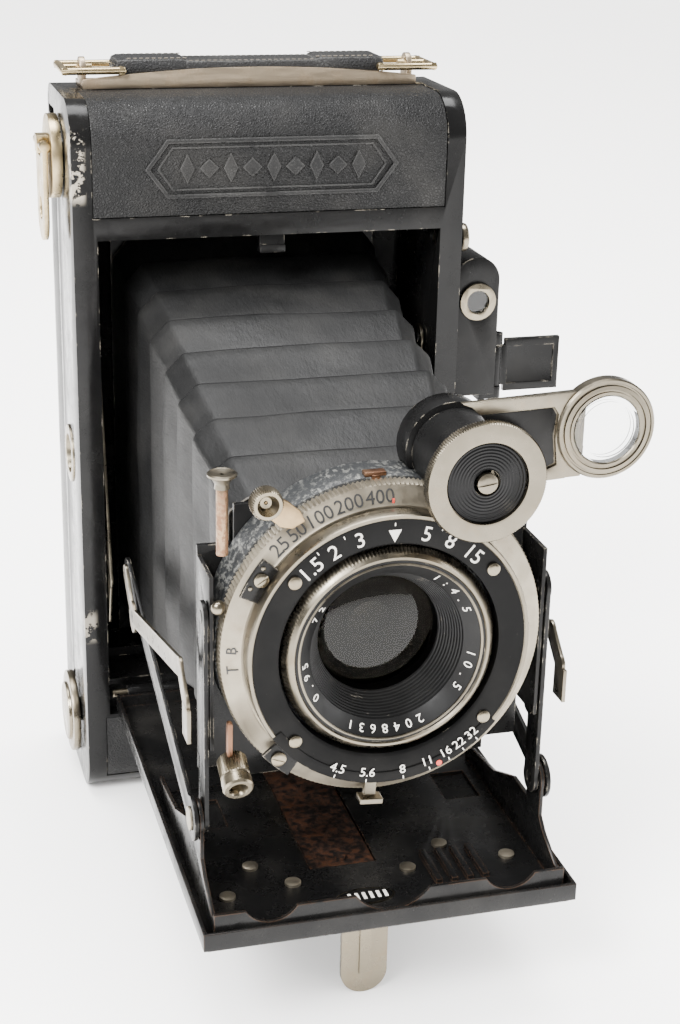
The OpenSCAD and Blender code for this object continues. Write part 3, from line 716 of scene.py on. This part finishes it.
def stage():
    deselect()
    bpy.ops.mesh.primitive_plane_add(size=8, location=(0, 0.5, 0))
    floor = named("floor")
    material, desk, shader = new_material("pale_paper")
    tone = desk.noise(desk.place(), 3.0, 2.0)
    desk.feed(shader.inputs["Base Color"], desk.mix(tone, (0.93, 0.92, 0.91, 1), (0.95, 0.94, 0.93, 1)))
    desk.feed(shader.inputs["Roughness"], desk.step(tone, 0.0, 1.0, 0.85, 0.95))
    floor.data.materials.append(material)
    world = bpy.data.worlds.new("studio")
    world.use_nodes = True
    desk = Desk(world.node_tree)
    soft = world.node_tree.nodes["Background"]
    soft.inputs["Color"].default_value = (1.0, 0.995, 0.985, 1)
    glossy = desk.add("LightPath").outputs["Is Glossy Ray"]
    desk.feed(soft.inputs["Strength"], desk.step(glossy, 0.0, 1.0, 4.4, 0.42))
    bpy.context.scene.world = world
    lamp("key", (-0.6, -0.55, 0.8), (0, -0.05, 0.08), 27, (0.4, 0.4))
    lamp("top", (0.0, 0.15, 1.1), (0, -0.02, 0.05), 24, (0.8, 0.5))
    lamp("side", (0.75, -0.35, 0.35), (0, -0.05, 0.1), 4, (0.2, 0.6))


stage()
camera()

# ---------------------------------------------------------------- frame parts with their edges rounded


def softened(node, material, width=0.18, angle=38):
    """The frame part with its sharp edges rounded, standing in for the plain one."""
    source = NODES[node]
    piece = bpy.data.objects.new(node + "_finished", source.data.copy())
    bpy.context.scene.collection.objects.link(piece)
    close_up(piece, 0.001 * MM)
    edit(piece, "FACE")
    bpy.ops.mesh.select_all(action="SELECT")
    bpy.ops.mesh.dissolve_limited(angle_limit=radians(0.4))
    leave()
    modify(piece, "BEVEL", width=width * MM, segments=2, limit_method="ANGLE",
           angle_limit=radians(angle), use_clamp_overlap=True)
    smooth(piece, 32)
    slot = next(s["material_slot"] for s in frame["record"]["subparts"] if s["node"] == node)
    return finish_piece(piece, material, source["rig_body"], slot, node)


ROUNDED = {
    "body_shell": ("enamel", 0.5), "back_door": ("enamel", 0.3), "bed_pan": ("bed", 0.25),
    "rangefinder_housing": ("satin", 0.3), "finder_front": ("satin", 0.12), "finder_peep": ("satin", 0.12),
    "carrier": ("bed", 0.12), "link_left": ("satin", 0.15), "link_right": ("satin", 0.15),
    "stay_left": ("satin", 0.15), "stay_right": ("satin", 0.15),
    "top_plate": ("plate", 0.15), "strap_loops": ("gold", 0.1), "side_tripod_bush": ("nickel", 0.2),
    "rangefinder_bezels": ("nickel", 0.15), "back_catch": ("nickel", 0.15), "window_cover": ("nickel", 0.1),
    "winding_key": ("gold", 0.3), "key_wing": ("gold", 0.2), "feed_knob": ("nickel", 0.35),
    "release_button": ("nickel", 0.4), "bed_catch": ("satin", 0.15), "bed_tripod_bush": ("nickel", 0.2),
    "foot": ("nickel", 0.2), "lock_lever_left": ("pale", 0.15),
    "lock_lever_right": ("pale", 0.15), "strut_left": ("pale", 0.12), "strut_right": ("pale", 0.12),
    "aperture_lever": ("pale", 0.15), "body_leather": ("hide", 0.2), "back_leather": ("hide", 0.2),
    "bed_leather": ("hide", 0.2), "shutter_case": ("crackle", 0.4),
}
PLAIN = {
    "film_gate": "satin", "hinge_pins": "nickel", "rangefinder_prism": "glass",
    "film_roller_upper": "steel", "film_roller_lower": "steel", "pressure_plate": "steel", "red_window": "ruby",
    "take_up_spool": "spool", "feed_spool": "spool", "centre_strip": "rust",
    "shutter_blades": "blades", "lens_barrel": "inner", "rear_glass": "glass", "wedge_glass": "glass",
}
for node, (finish, width) in ROUNDED.items():
    softened(node, M[finish], width)
for node, finish in PLAIN.items():
    mesh = NODES[node].data
    mesh.materials.clear()
    mesh.materials.append(M[finish])

# ---------------------------------------------------------------- bellows

BELLOWS_LOW, BELLOWS_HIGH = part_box("bellows")


def bellows():
    """Folded box of leathercloth, tapering from the body to the lens panel, with cut corners."""
    folds = 8
    back_y, front_y = BELLOWS_HIGH.y - 1.0 * MM, BELLOWS_LOW.y
    length = back_y - front_y
    outline = []
    for x, z in ((1, 1), (-1, 1), (-1, -1), (1, -1)):
        corner = [(x * 0.87, z), (x, z * 0.9)] if x * z < 0 else [(x, z * 0.9), (x * 0.87, z)]
        outline += corner
    deselect()
    bpy.ops.mesh.primitive_circle_add(vertices=8, radius=1 * MM, location=(0, back_y, 0),
                                      rotation=(pi / 2, 0, 0))
    piece = named("bellows_folds")
    settle(piece)
    half_w, half_h, mid_z = 32.4 * MM, 50.0 * MM, 85.5 * MM
    ring = sorted(piece.data.vertices, key=lambda v: atan2(v.co.z, v.co.x))
    order = sorted(outline, key=lambda p: atan2(p[1], p[0]))
    for vertex, (x, z) in zip(ring, order):
        vertex.co = (x * half_w, back_y, mid_z + z * half_h)
    edit(piece, "EDGE")
    bpy.ops.mesh.select_all(action="SELECT")
    y, w, h, mid = back_y, half_w, half_h, mid_z
    for fold in range(folds):
        for part, draw in ((0.82, 1.7), (0.91, 2.1), (1.0, 0.0)):
            t = (fold + part) / folds
            next_y = back_y - length * t
            next_w = (32.4 + (27.4 - 32.4) * t - draw) * MM
            next_h = (50.0 + (27.2 - 50.0) * t - draw) * MM
            next_mid = (85.5 + (80.2 - 85.5) * t) * MM
            bpy.ops.mesh.extrude_region_move(
                TRANSFORM_OT_translate={"value": (0, next_y - y, next_mid - mid)})
            bpy.ops.transform.resize(value=(next_w / w, 1, next_h / h), center_override=(0, next_y, next_mid))
            y, w, h, mid = next_y, next_w, next_h, next_mid
    leave()
    close_up(piece)
    modify(piece, "BEVEL", width=0.5 * MM, segments=2, limit_method="ANGLE", angle_limit=radians(12))
    edit(piece)
    bpy.ops.mesh.select_all(action="SELECT")
    bpy.ops.mesh.subdivide(number_cuts=4)
    leave()
    crumple = bpy.data.textures.new("crumple", "CLOUDS")
    crumple.noise_scale = 0.02
    crumple.noise_depth = 3
    modify(piece, "DISPLACE", texture=crumple, strength=1.8 * MM, mid_level=0.72)
    modify(piece, "SOLIDIFY", thickness=0.4 * MM, offset=-1)
    smooth(piece, 50)
    finish_piece(piece, M["cloth"], "root", "cloth", "bellows")
    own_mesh(piece)
    return piece


bellows()

# ---------------------------------------------------------------- embossed panel on the upper leather

LEATHER_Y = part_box("body_leather")[0].y
TURN_Z, TURN_R = 162 * MM, 9.9 * MM


def wrap_front(piece):
    """Follows the leather over the rounded shoulder of the body."""
    for vertex in piece.data.vertices:
        x, y, z = vertex.co
        if z > TURN_Z:
            angle = (z - TURN_Z) / TURN_R
            reach = TURN_R + (LEATHER_Y - y)
            vertex.co = (x, LEATHER_Y + TURN_R - reach * cos(angle), TURN_Z + reach * sin(angle))


def lozenge_band(name, half_w, half_h, tip, width, height):
    """A raised line round a long lozenge with pointed ends."""
    mid = 157.2
    corners = [(-half_w - tip, mid), (-half_w, mid - half_h), (half_w, mid - half_h), (half_w + tip, mid),
               (half_w, mid + half_h), (-half_w, mid + half_h)]
    points = []
    for (x0, z0), (x1, z1) in zip(corners, corners[1:] + corners[:1]):
        steps = max(2, round(hypot(x1 - x0, z1 - z0) / 1.2))
        points += [(x0 + (x1 - x0) * i / steps, z0 + (z1 - z0) * i / steps) for i in range(steps)]
    deselect()
    bpy.ops.mesh.primitive_circle_add(vertices=len(points), radius=MM, fill_type="NGON")
    piece = named(name)
    for vertex, (x, z) in zip(piece.data.vertices, points):
        vertex.co = (x * MM, LEATHER_Y + 0.25 * MM, z * MM)
    edit(piece, "FACE")
    bpy.ops.mesh.select_all(action="SELECT")
    bpy.ops.mesh.inset(thickness=width * MM, use_even_offset=True)
    bpy.ops.mesh.delete(type="FACE")
    bpy.ops.mesh.select_all(action="SELECT")
    bpy.ops.mesh.extrude_region_move(TRANSFORM_OT_translate={"value": (0, -(height + 0.25) * MM, 0)})
    leave()
    close_up(piece)
    modify(piece, "BEVEL", width=0.16 * MM, segments=2, limit_method="ANGLE", angle_limit=radians(50))
    wrap_front(piece)
    smooth(piece)
    return piece


def panel_ornament():
    """Row of raised lozenges and beads inside the panel."""
    pieces = []
    for i in range(-4, 5):
        x = i * 5.0
        half = 2.3 if i % 2 else 1.7
        tall = 3.4 if i % 2 == 0 else 2.2
        points = [(x - half, 157.2), (x, 157.2 - tall), (x + half, 157.2), (x, 157.2 + tall)]
        lozenge = flat_outline("lozenge", points, LEATHER_Y / MM - 0.42, 0.6, edge=0.2)
        wrap_front(lozenge)
        pieces.append(lozenge)
    return joined("panel_ornament", pieces)


panel = joined("embossed_panel", [
    lozenge_band("outer_line", 24.6, 6.6, 5.0, 0.95, 0.5),
    lozenge_band("inner_line", 23.4, 4.9, 3.4, 0.45, 0.26),
    panel_ornament()])
finish_piece(panel, M["panel"], "root", "hide")

# ---------------------------------------------------------------- shutter and its scales

CENTRE = (LENS_X, LENS_Z)


def nickel_piece(piece, finish, body, *replaced):
    smooth(piece, 32)
    return finish_piece(piece, M[finish], body, "nickel", *replaced)


def black_piece(piece, finish, body, *replaced):
    smooth(piece, 32)
    return finish_piece(piece, M[finish], body, "black_metal", *replaced)


ring = turned("speed_ring_turned", CENTRE, [
    (25.2, -107.95), (32.3, -107.95), (32.95, -108.5), (32.95, -111.3), (32.6, -111.8), (31.9, -112.1),
    (31.6, -112.35), (29.4, -113.0), (28.9, -113.4), (25.2, -113.45)], steps=440)
serrate(ring, CENTRE, 32.7, 0.42, 220, band=(-111.5, -108.3))
nickel_piece(ring, "dial", "speeds", "speed_ring")
SPEEDS = [("25", 134), ("50", 126), ("100", 116.5), ("200", 105), ("400", 93.4)]
figures = figures_round("speed_figures", CENTRE, -112.74, 30.55, SPEEDS, 3.9, tilt=-17)
finish_piece(figures, M["black"], "speeds", "black_metal")
figures = figures_round("speed_letters", CENTRE, -112.74, 30.6, [("B", 177.5), ("T", 185)], 2.9, tilt=-17)
finish_piece(figures, M["black"], "speeds", "black_metal")


def ticks(name, y, inner, outer, angles, width, height, finish, body, tilt=0.0):
    """Fine marks cut along the radius of a dial."""
    marks = []
    for angle in angles:
        half = width / 2
        mark = block("mark", (inner * MM, (y - height) * MM, -half * MM), (outer * MM, y * MM, half * MM),
                     edge=0.01)
        place = Matrix.Translation((LENS_X, 0, LENS_Z)) @ Matrix.Rotation(-radians(angle), 4, "Y")
        mark.data.transform(place)
        marks.append(mark)
    piece = joined(name, marks)
    return finish_piece(piece, M[finish], body, "black_metal")


ticks("speed_marks", -112.9, 29.0, 29.9, [134, 126, 116.5, 105, 93.4, 177.5, 185], 0.28, 0.12,
      "black", "speeds")
ticks("red_speed_mark", -112.95, 28.95, 30.2, [88.5], 0.45, 0.16, "red", "speeds")

clip = joined("cocking_clip", [
    block("clip_top", (-3.4 * MM, -107.6 * MM, 114.0 * MM), (1.0 * MM, -105.4 * MM, 114.9 * MM), edge=0.2),
    block("clip_stem", (-2.1 * MM, -107.9 * MM, 112.2 * MM), (-0.3 * MM, -105.9 * MM, 114.4 * MM), edge=0.2)])
finish_piece(clip, M["copper"], "front", "nickel")

rim = turned("face_rim", CENTRE, [
    (27.5, -113.65), (28.5, -113.65), (28.5, -117.0), (28.3, -117.36), (27.7, -117.36),
    (27.5, -117.1)], steps=256)
nickel_piece(rim, "pale", "front")
plate = turned("face_plate_turned", CENTRE, [
    (22.3, -113.65), (27.6, -113.65), (27.6, -117.08), (23.0, -117.08), (22.3, -116.7)], steps=192)
black_piece(plate, "face", "front", "face_plate")


def arc_plate(name, inner, outer, start, stop, y, thickness, finish, body="front", steps=24):
    """A flat sector between two radii about the lens."""
    turns = [radians(start + (stop - start) * i / steps) for i in range(steps + 1)]
    points = [(LENS_X / MM + outer * cos(t), LENS_Z / MM + outer * sin(t)) for t in turns]
    points += [(LENS_X / MM + inner * cos(t), LENS_Z / MM + inner * sin(t)) for t in reversed(turns)]
    return black_piece(flat_outline(name, points, y, thickness, edge=0.12), finish, body)


arc_plate("aperture_scale", 26.2, 28.45, -146, -38, -117.42, 0.4, "face")
arc_plate("upper_bracket", 28.0, 32.2, 140.5, 156, -114.5, 0.95, "satin")
arc_plate("lower_bracket", 28.0, 32.6, -139.5, -127, -114.5, 0.95, "satin")


def on_dial(radius, angle, y):
    turn = radians(angle)
    return Vector((LENS_X + radius * MM * cos(turn), y * MM, LENS_Z + radius * MM * sin(turn)))


pins = [domed_pin("face_pin", on_dial(25.5, angle, -117.3), (0, -1, 0), 1.3, 0.7)
        for angle in (37.8, 139.8, 222, 320.6)]
pins.append(domed_pin("upper_screw", on_dial(30.2, 147, -114.7), (0, -1, 0), 1.45, 0.7, slot_turn=35))
pins.append(domed_pin("lower_screw", on_dial(30.8, -134.5, -114.7), (0, -1, 0), 1.5, 0.7, slot_turn=-20))
pins.append(domed_pin("side_stud", on_dial(34.35, 163, -111.2), (-0.35, -0.9, 0.2), 1.3, 1.8))
finish_piece(joined("face_screws", pins), M["nickel"], "front", "nickel")
beads = [domed_pin("bracket_bead", on_dial(31.2, angle, -114.6), (0, -1, 0), 0.45, 0.3, steps=12)
         for angle in (143, 151.5)]
finish_piece(joined("bracket_beads", beads), M["pale"], "front", "nickel")

DISTANCES = [("1.5", 131), ("2", 118.5), ("3", 106), ("5", 75), ("8", 63), ("15", 50)]
figures = figures_round("distance_figures", CENTRE, -117.1, 24.7, DISTANCES, 4.3)
finish_piece(figures, M["white"], "front", "black_metal")
stops = [("4.5", -113), ("5.6", -99), ("8", -83), ("11", -71.5), ("16", -62.5), ("22", -55.5), ("32", -48.5)]
figures = figures_round("aperture_figures", CENTRE, -117.44, 26.2, stops, 2.7, upright=False)
finish_piece(figures, M["white"], "front", "black_metal")
ticks("aperture_marks", -117.42, 27.6, 28.3, [a for _, a in stops], 0.22, 0.06, "white", "front")
ticks("distance_marks", -117.1, 26.2, 26.85, [90, 112, 124.5, 69, 56.5], 0.2, 0.06, "white", "front")
pointer_foot, pointer_tip = LENS_Z / MM + 25.4, LENS_Z / MM + 22.9
pointer = flat_outline("pointer", [(-1.3, pointer_foot), (1.3, pointer_foot), (0, pointer_tip)],
                       -117.16, 0.1, edge=0)
finish_piece(pointer, M["white"], "front", "black_metal")
finish_piece(domed_pin("red_dot", on_dial(27.7, -67, -117.44), (0, -1, 0), 0.62, 0.12, steps=20),
             M["red"], "front", "black_metal")

# ---------------------------------------------------------------- front cell of the lens

knurled = turned("cell_ring", CENTRE, [
    (19.5, -108.1), (19.5, -113.95), (21.55, -113.95), (21.75, -114.3), (21.75, -115.6), (21.3, -116.1),
    (21.2, -116.5), (20.5, -117.5), (20.0, -117.9), (19.5, -117.95), (19.2, -117.5), (19.2, -108.1)], steps=360)
serrate(knurled, CENTRE, 20.9, 0.24, 180, band=(-117.2, -114.1))
nickel_piece(knurled, "pale", "cell", "front_cell")
bright = turned("cell_bright_ring", CENTRE, [
    (18.3, -117.2), (18.75, -117.2), (18.75, -117.75), (18.5, -117.85), (18.3, -117.7)], steps=160)
nickel_piece(bright, "pale", "cell")
cone = [(19.25, -108.2), (19.25, -117.55), (18.75, -117.6), (18.3, -117.3), (15.6, -114.9)]
for i in range(9):
    radius, depth = 15.6 - 0.34 * (i + 1), -114.9 + 0.68 * (i + 1)
    cone += [(radius + 0.2, depth - 0.12), (radius, depth)]
cone += [(12.45, -108.5), (12.45, -108.2)]
black_piece(turned("cell_cone", CENTRE, cone, steps=160), "inner", "cell")
MARKS = "1:4.5   10.5   2048631   0.95   72   "
spread = [(mark, 58 - i * 8.3) for i, mark in enumerate(MARKS) if mark != " "]
figures = figures_round("cell_figures", CENTRE, -116.25, 16.95, spread, 2.6, tilt=41)
finish_piece(figures, M["white"], "cell", "black_metal")


def lens_dome(name, radius, edge_y, apex_y, back_y, body, *replaced):
    """A lens with a domed front and a flat back."""
    outline = [(radius, back_y), (radius, edge_y)]
    steps = 12
    for i in range(1, steps):
        t = pi / 2 * i / steps
        outline.append((radius * cos(t), edge_y + (apex_y - edge_y) * sin(t)))
    outline.append((0.12, apex_y))
    piece = turned(name, CENTRE, outline, steps=96, loop=False)
    smooth(piece, 60)
    return finish_piece(piece, M["lens"], body, "glass", *replaced)


lens_dome("front_lens", 12.35, -105.6, -108.55, -103.6, "cell", "front_glass")

# ---------------------------------------------------------------- focusing wheel and rangefinder arm

WHEEL_AT = (WHEEL.x, WHEEL.z)
wheel = turned("wheel_ring", WHEEL_AT, [
    (2.6, -121.45), (11.6, -121.45), (11.97, -121.8), (11.97, -123.3), (11.6, -123.75), (8.6, -123.98),
    (8.1, -123.9), (8.0, -122.9), (2.6, -122.9)], steps=300)
serrate(wheel, WHEEL_AT, 11.8, 0.26, 150, band=(-123.5, -121.6))
nickel_piece(wheel, "pale", "wheel", "focus_wheel")
disc = turned("wheel_disc", WHEEL_AT, [
    (7.95, -122.85), (7.95, -123.2), (7.6, -123.3), (2.65, -123.3), (2.65, -122.85)], steps=128)
black_piece(disc, "grooved", "wheel")

standard = softened("standard", M["satin"], 0.2)
pick(standard, lambda at: at.y < -122.9 * MM)
bpy.ops.mesh.delete(type="VERT")
leave()
edit(standard, "EDGE")
bpy.ops.mesh.select_non_manifold()
bpy.ops.mesh.fill_holes(sides=0)
leave()
close_up(standard)
screw = domed_pin("wheel_screw", Vector((WHEEL.x, -123.3 * MM, WHEEL.z)), (0, -1, 0), 2.0, 0.9, slot_turn=8)
finish_piece(screw, M["pale"], "front", "nickel")

RING_AT = (WEDGE.x, WEDGE.z)


ARM_TIP = (11.1, 131.7)
arm_line = [ARM_TIP, (35.6, 132.85), (35.6, 115.75), (17.5, 114.9),
            (17.5, 124), (16.9, 126.6), (15.7, 128.4), (14.4, 129.9), (12.8, 131.0)]
arm = flat_outline("arm_bar", arm_line, -120.1, 1.45, edge=0.15)
frame_line = [ARM_TIP, (35.0, 132.85), (33.2, 130.2), (32.3, 115.7), (24, 115.2), (24, 117.6), (28.6, 117.9),
              (30.4, 118.6), (29.8, 123.7), (30.2, 128.6), (29.2, 130.1), (14.4, 129.5), (12.8, 131.0)]
rail = flat_outline("arm_rail", frame_line, -120.6, 0.55, edge=0.15)
hub = turned("arm_hub", WHEEL_AT, [(2.6, -118.65), (7.3, -118.65), (7.3, -120.5), (2.6, -120.5)], steps=96)
nickel_piece(joined("arm_bar", [arm, rail, hub]), "pale", "arm", "wedge_arm")
panel_line = [(15.2, 128.9), (16.9, 126.6), (18, 124), (24, 118), (28.5, 118.2), (30.1, 118.9),
              (29.5, 123.7), (29.9, 128.5), (29.0, 129.85), (14.9, 129.3)]
panel = flat_outline("arm_panel", panel_line, -120.2, 0.2, edge=0.05)
black_piece(panel, "satin", "arm")
sleeve = turned("hub_sleeve", WHEEL_AT, [
    (5.7, -104.5), (8.7, -104.5), (8.7, -118.1), (8.4, -118.4), (5.7, -118.4)], steps=128)
modify(sleeve, "BOOLEAN", operation="DIFFERENCE", solver="EXACT",
       object=turned("sleeve_cut", CENTRE, [(33.4, -100.0), (33.4, -125.0)], steps=256, loop=False))
bpy.data.objects.remove(bpy.data.objects["sleeve_cut"])
black_piece(sleeve, "satin", "front")
steps_out = [(6.62, -118.65), (9.9, -118.65), (9.9, -120.9), (9.6, -121.3), (9.1, -121.3), (9.0, -121.05),
             (8.7, -121.05), (8.6, -121.5), (7.9, -121.58), (7.8, -121.2), (7.45, -121.2), (7.4, -121.5),
             (6.9, -121.5), (6.62, -121.2)]
nickel_piece(turned("arm_ring", RING_AT, steps_out, steps=160), "pale", "arm")

# ---------------------------------------------------------------- small levers on the shutter

PLUNGER = middle("release_plunger")
PLUNGER_LOW, PLUNGER_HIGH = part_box("release_plunger")
deselect()
SHAFT_LONG = PLUNGER_HIGH.z - PLUNGER_LOW.z - 3.2 * MM
bpy.ops.mesh.primitive_cylinder_add(vertices=32, radius=1.15 * MM, depth=SHAFT_LONG,
                                    location=(PLUNGER.x, PLUNGER.y, PLUNGER.z - 1.5 * MM))
shaft = named("plunger_shaft")
settle(shaft)
modify(shaft, "BEVEL", width=0.2 * MM, segments=2, limit_method="ANGLE", angle_limit=radians(40))
smooth(shaft)
finish_piece(shaft, M["rusted"], "plunger", "nickel")
head = turned("plunger_head", (0, 0), [
    (0.4, 0.0), (1.5, 0.0), (1.4, -0.9), (2.0, -2.0), (2.85, -2.5), (2.9, -2.9), (2.6, -3.15),
    (2.2, -3.0), (0.4, -2.8)], steps=64)
edit(head)
bpy.ops.mesh.select_all(action="SELECT")
bpy.ops.transform.rotate(value=pi / 2, orient_axis="X", center_override=(0, 0, 0))
leave()
lift = PLUNGER_HIGH.z - max(v.co.z for v in head.data.vertices)
head.location = (PLUNGER.x, PLUNGER.y, lift)
settle(head)
nickel_piece(head, "pale", "plunger", "release_plunger")

CUP = on_dial(40.5, 127.5, -114)
cup = turned("lever_cup", (CUP.x, CUP.z), [
    (0.4, -113.9), (3.0, -113.9), (3.15, -114.2), (3.15, -116.5), (2.7, -117.15), (2.1, -117.15), (1.8, -116.4),
    (1.1, -115.2), (0.4, -115.1)], steps=84)
serrate(cup, (CUP.x, CUP.z), 2.95, 0.25, 42, band=(-116.7, -114.1))
turn = radians(127.5)
leaf = [(32.2, -3.4), (34.5, -3.9), (37.5, -3.3), (40.5, -2.0),
        (40.5, 1.5), (37, 1.4), (34.5, 0.9), (32.6, -0.6)]
leaf = [(u * cos(turn) - v * sin(turn), LENS_Z / MM + u * sin(turn) + v * cos(turn)) for u, v in leaf]
nickel_piece(cup, "nickel", "cocking", "cocking_lever")
nickel_piece(flat_outline("lever_leaf", leaf, -114.7, 0.9, edge=0.2), "brass", "cocking")

socket = turned("cable_mouth", (-30.9 * MM, 60 * MM), [
    (1.5, -113.7), (2.6, -113.7), (2.95, -114.1), (2.95, -118.0), (2.7, -118.2), (2.7, -118.6), (3.0, -118.9),
    (3.05, -120.9), (2.7, -121.3), (1.9, -121.3), (1.5, -120.6)], steps=72)
serrate(socket, (-30.9 * MM, 60 * MM), 2.8, 0.22, 36, band=(-118.1, -113.9))
edit(socket)
bpy.ops.mesh.select_all(action="SELECT")
bpy.ops.transform.rotate(value=-radians(25), orient_axis="X", center_override=(-0.0309, -0.1136, 0.06))
leave()
nickel_piece(socket, "nickel", "front", "cable_socket")
pipe = block("cable_pipe", (-32.2 * MM, -116.3 * MM, 60.5 * MM), (-31.0 * MM, -114.6 * MM, 69 * MM), edge=0.5)
finish_piece(pipe, M["copper"], "front", "nickel")

# ---------------------------------------------------------------- bed: rivets and badge

FLOOR_Z = 26.5 * MM
heads = [domed_pin("floor_rivet", Vector((x * MM, y * MM, FLOOR_Z + 0.28 * MM)), (0, 0, 1), 1.7, 0.56)
         for x, y in ((-16.8, -109), (8, -109), (17.4, -101.5), (-24, -101), (30, -109), (-31, -111))]
for side in (-1, 1):
    pivot = Vector((side * 38.05 * MM, -107.5 * MM, 44 * MM))
    heads.append(domed_pin("pivot_rivet", pivot, (side, 0, 0), 2.45, 0.36))
finish_piece(joined("bed_rivets", heads), M["dial"], "bed", "nickel", "carrier_rivets")


def oval(name, half_x, half_y, z, height, finish, slot, x=-3.6, y=-117.2):
    deselect()
    bpy.ops.mesh.primitive_cylinder_add(vertices=48, radius=1 * MM, depth=height * MM,
                                        location=(x * MM, y * MM, z * MM))
    piece = named(name)
    piece.scale = (half_x, half_y, 1)
    settle(piece)
    smooth(piece)
    return finish_piece(piece, M[finish], "bed", slot)


oval("badge_edge", 6.2, 2.9, 26.62, 0.24, "pale", "nickel")
oval("badge_field", 5.7, 2.45, 26.68, 0.24, "face", "black_metal")
bars = [block("badge_bar", ((-7.2 + i * 1.5) * MM, -118.4 * MM, 26.78 * MM),
              ((-6.5 + i * 1.5) * MM, -116.0 * MM, 26.86 * MM), 0.02)
        for i in range(6)]
finish_piece(joined("badge_bars", bars), M["white"], "bed", "nickel")

# ---------------------------------------------------------------- carrying strap

def strap():
    """Leather strap with folded ends, rounded and stitched."""
    low, high = STRAP_LOW, STRAP_HIGH
    near, far, top = low.y - 1.3 * MM, high.y + 0.9 * MM, high.z + 0.9 * MM
    core = block("strap_leather", (low.x + 5 * MM, near + 0.3 * MM, low.z + 0.5 * MM),
                 (high.x - 5 * MM, far - 0.3 * MM, top - 0.7 * MM), edge=0.8)
    parts = [core]
    for side in (-1, 1):
        inner, outer = side * 15 * MM, side * (high.x - 0.3 * MM)
        end = block("strap_end", (min(inner, outer), near, low.z + 0.1 * MM),
                    (max(inner, outer), far, top), edge=1.5)
        parts.append(end)
    piece = joined("strap_folded", parts)
    finish_piece(piece, M["strap"], "handle", "hide", "strap")
    stitches = []
    for i in range(-20, 21):
        for y in (near + 1.1 * MM, far - 1.1 * MM):
            x = i * 1.45 * MM
            z = top - (0.08 if abs(x) > 15 * MM else 0.75) * MM
            stitches.append(block("stitch", (x - 0.45 * MM, y - 0.16 * MM, z - 0.12 * MM),
                                  (x + 0.45 * MM, y + 0.16 * MM, z + 0.1 * MM), edge=0.05))
    finish_piece(joined("strap_stitches", stitches), M["thread"], "handle", "hide")


strap()
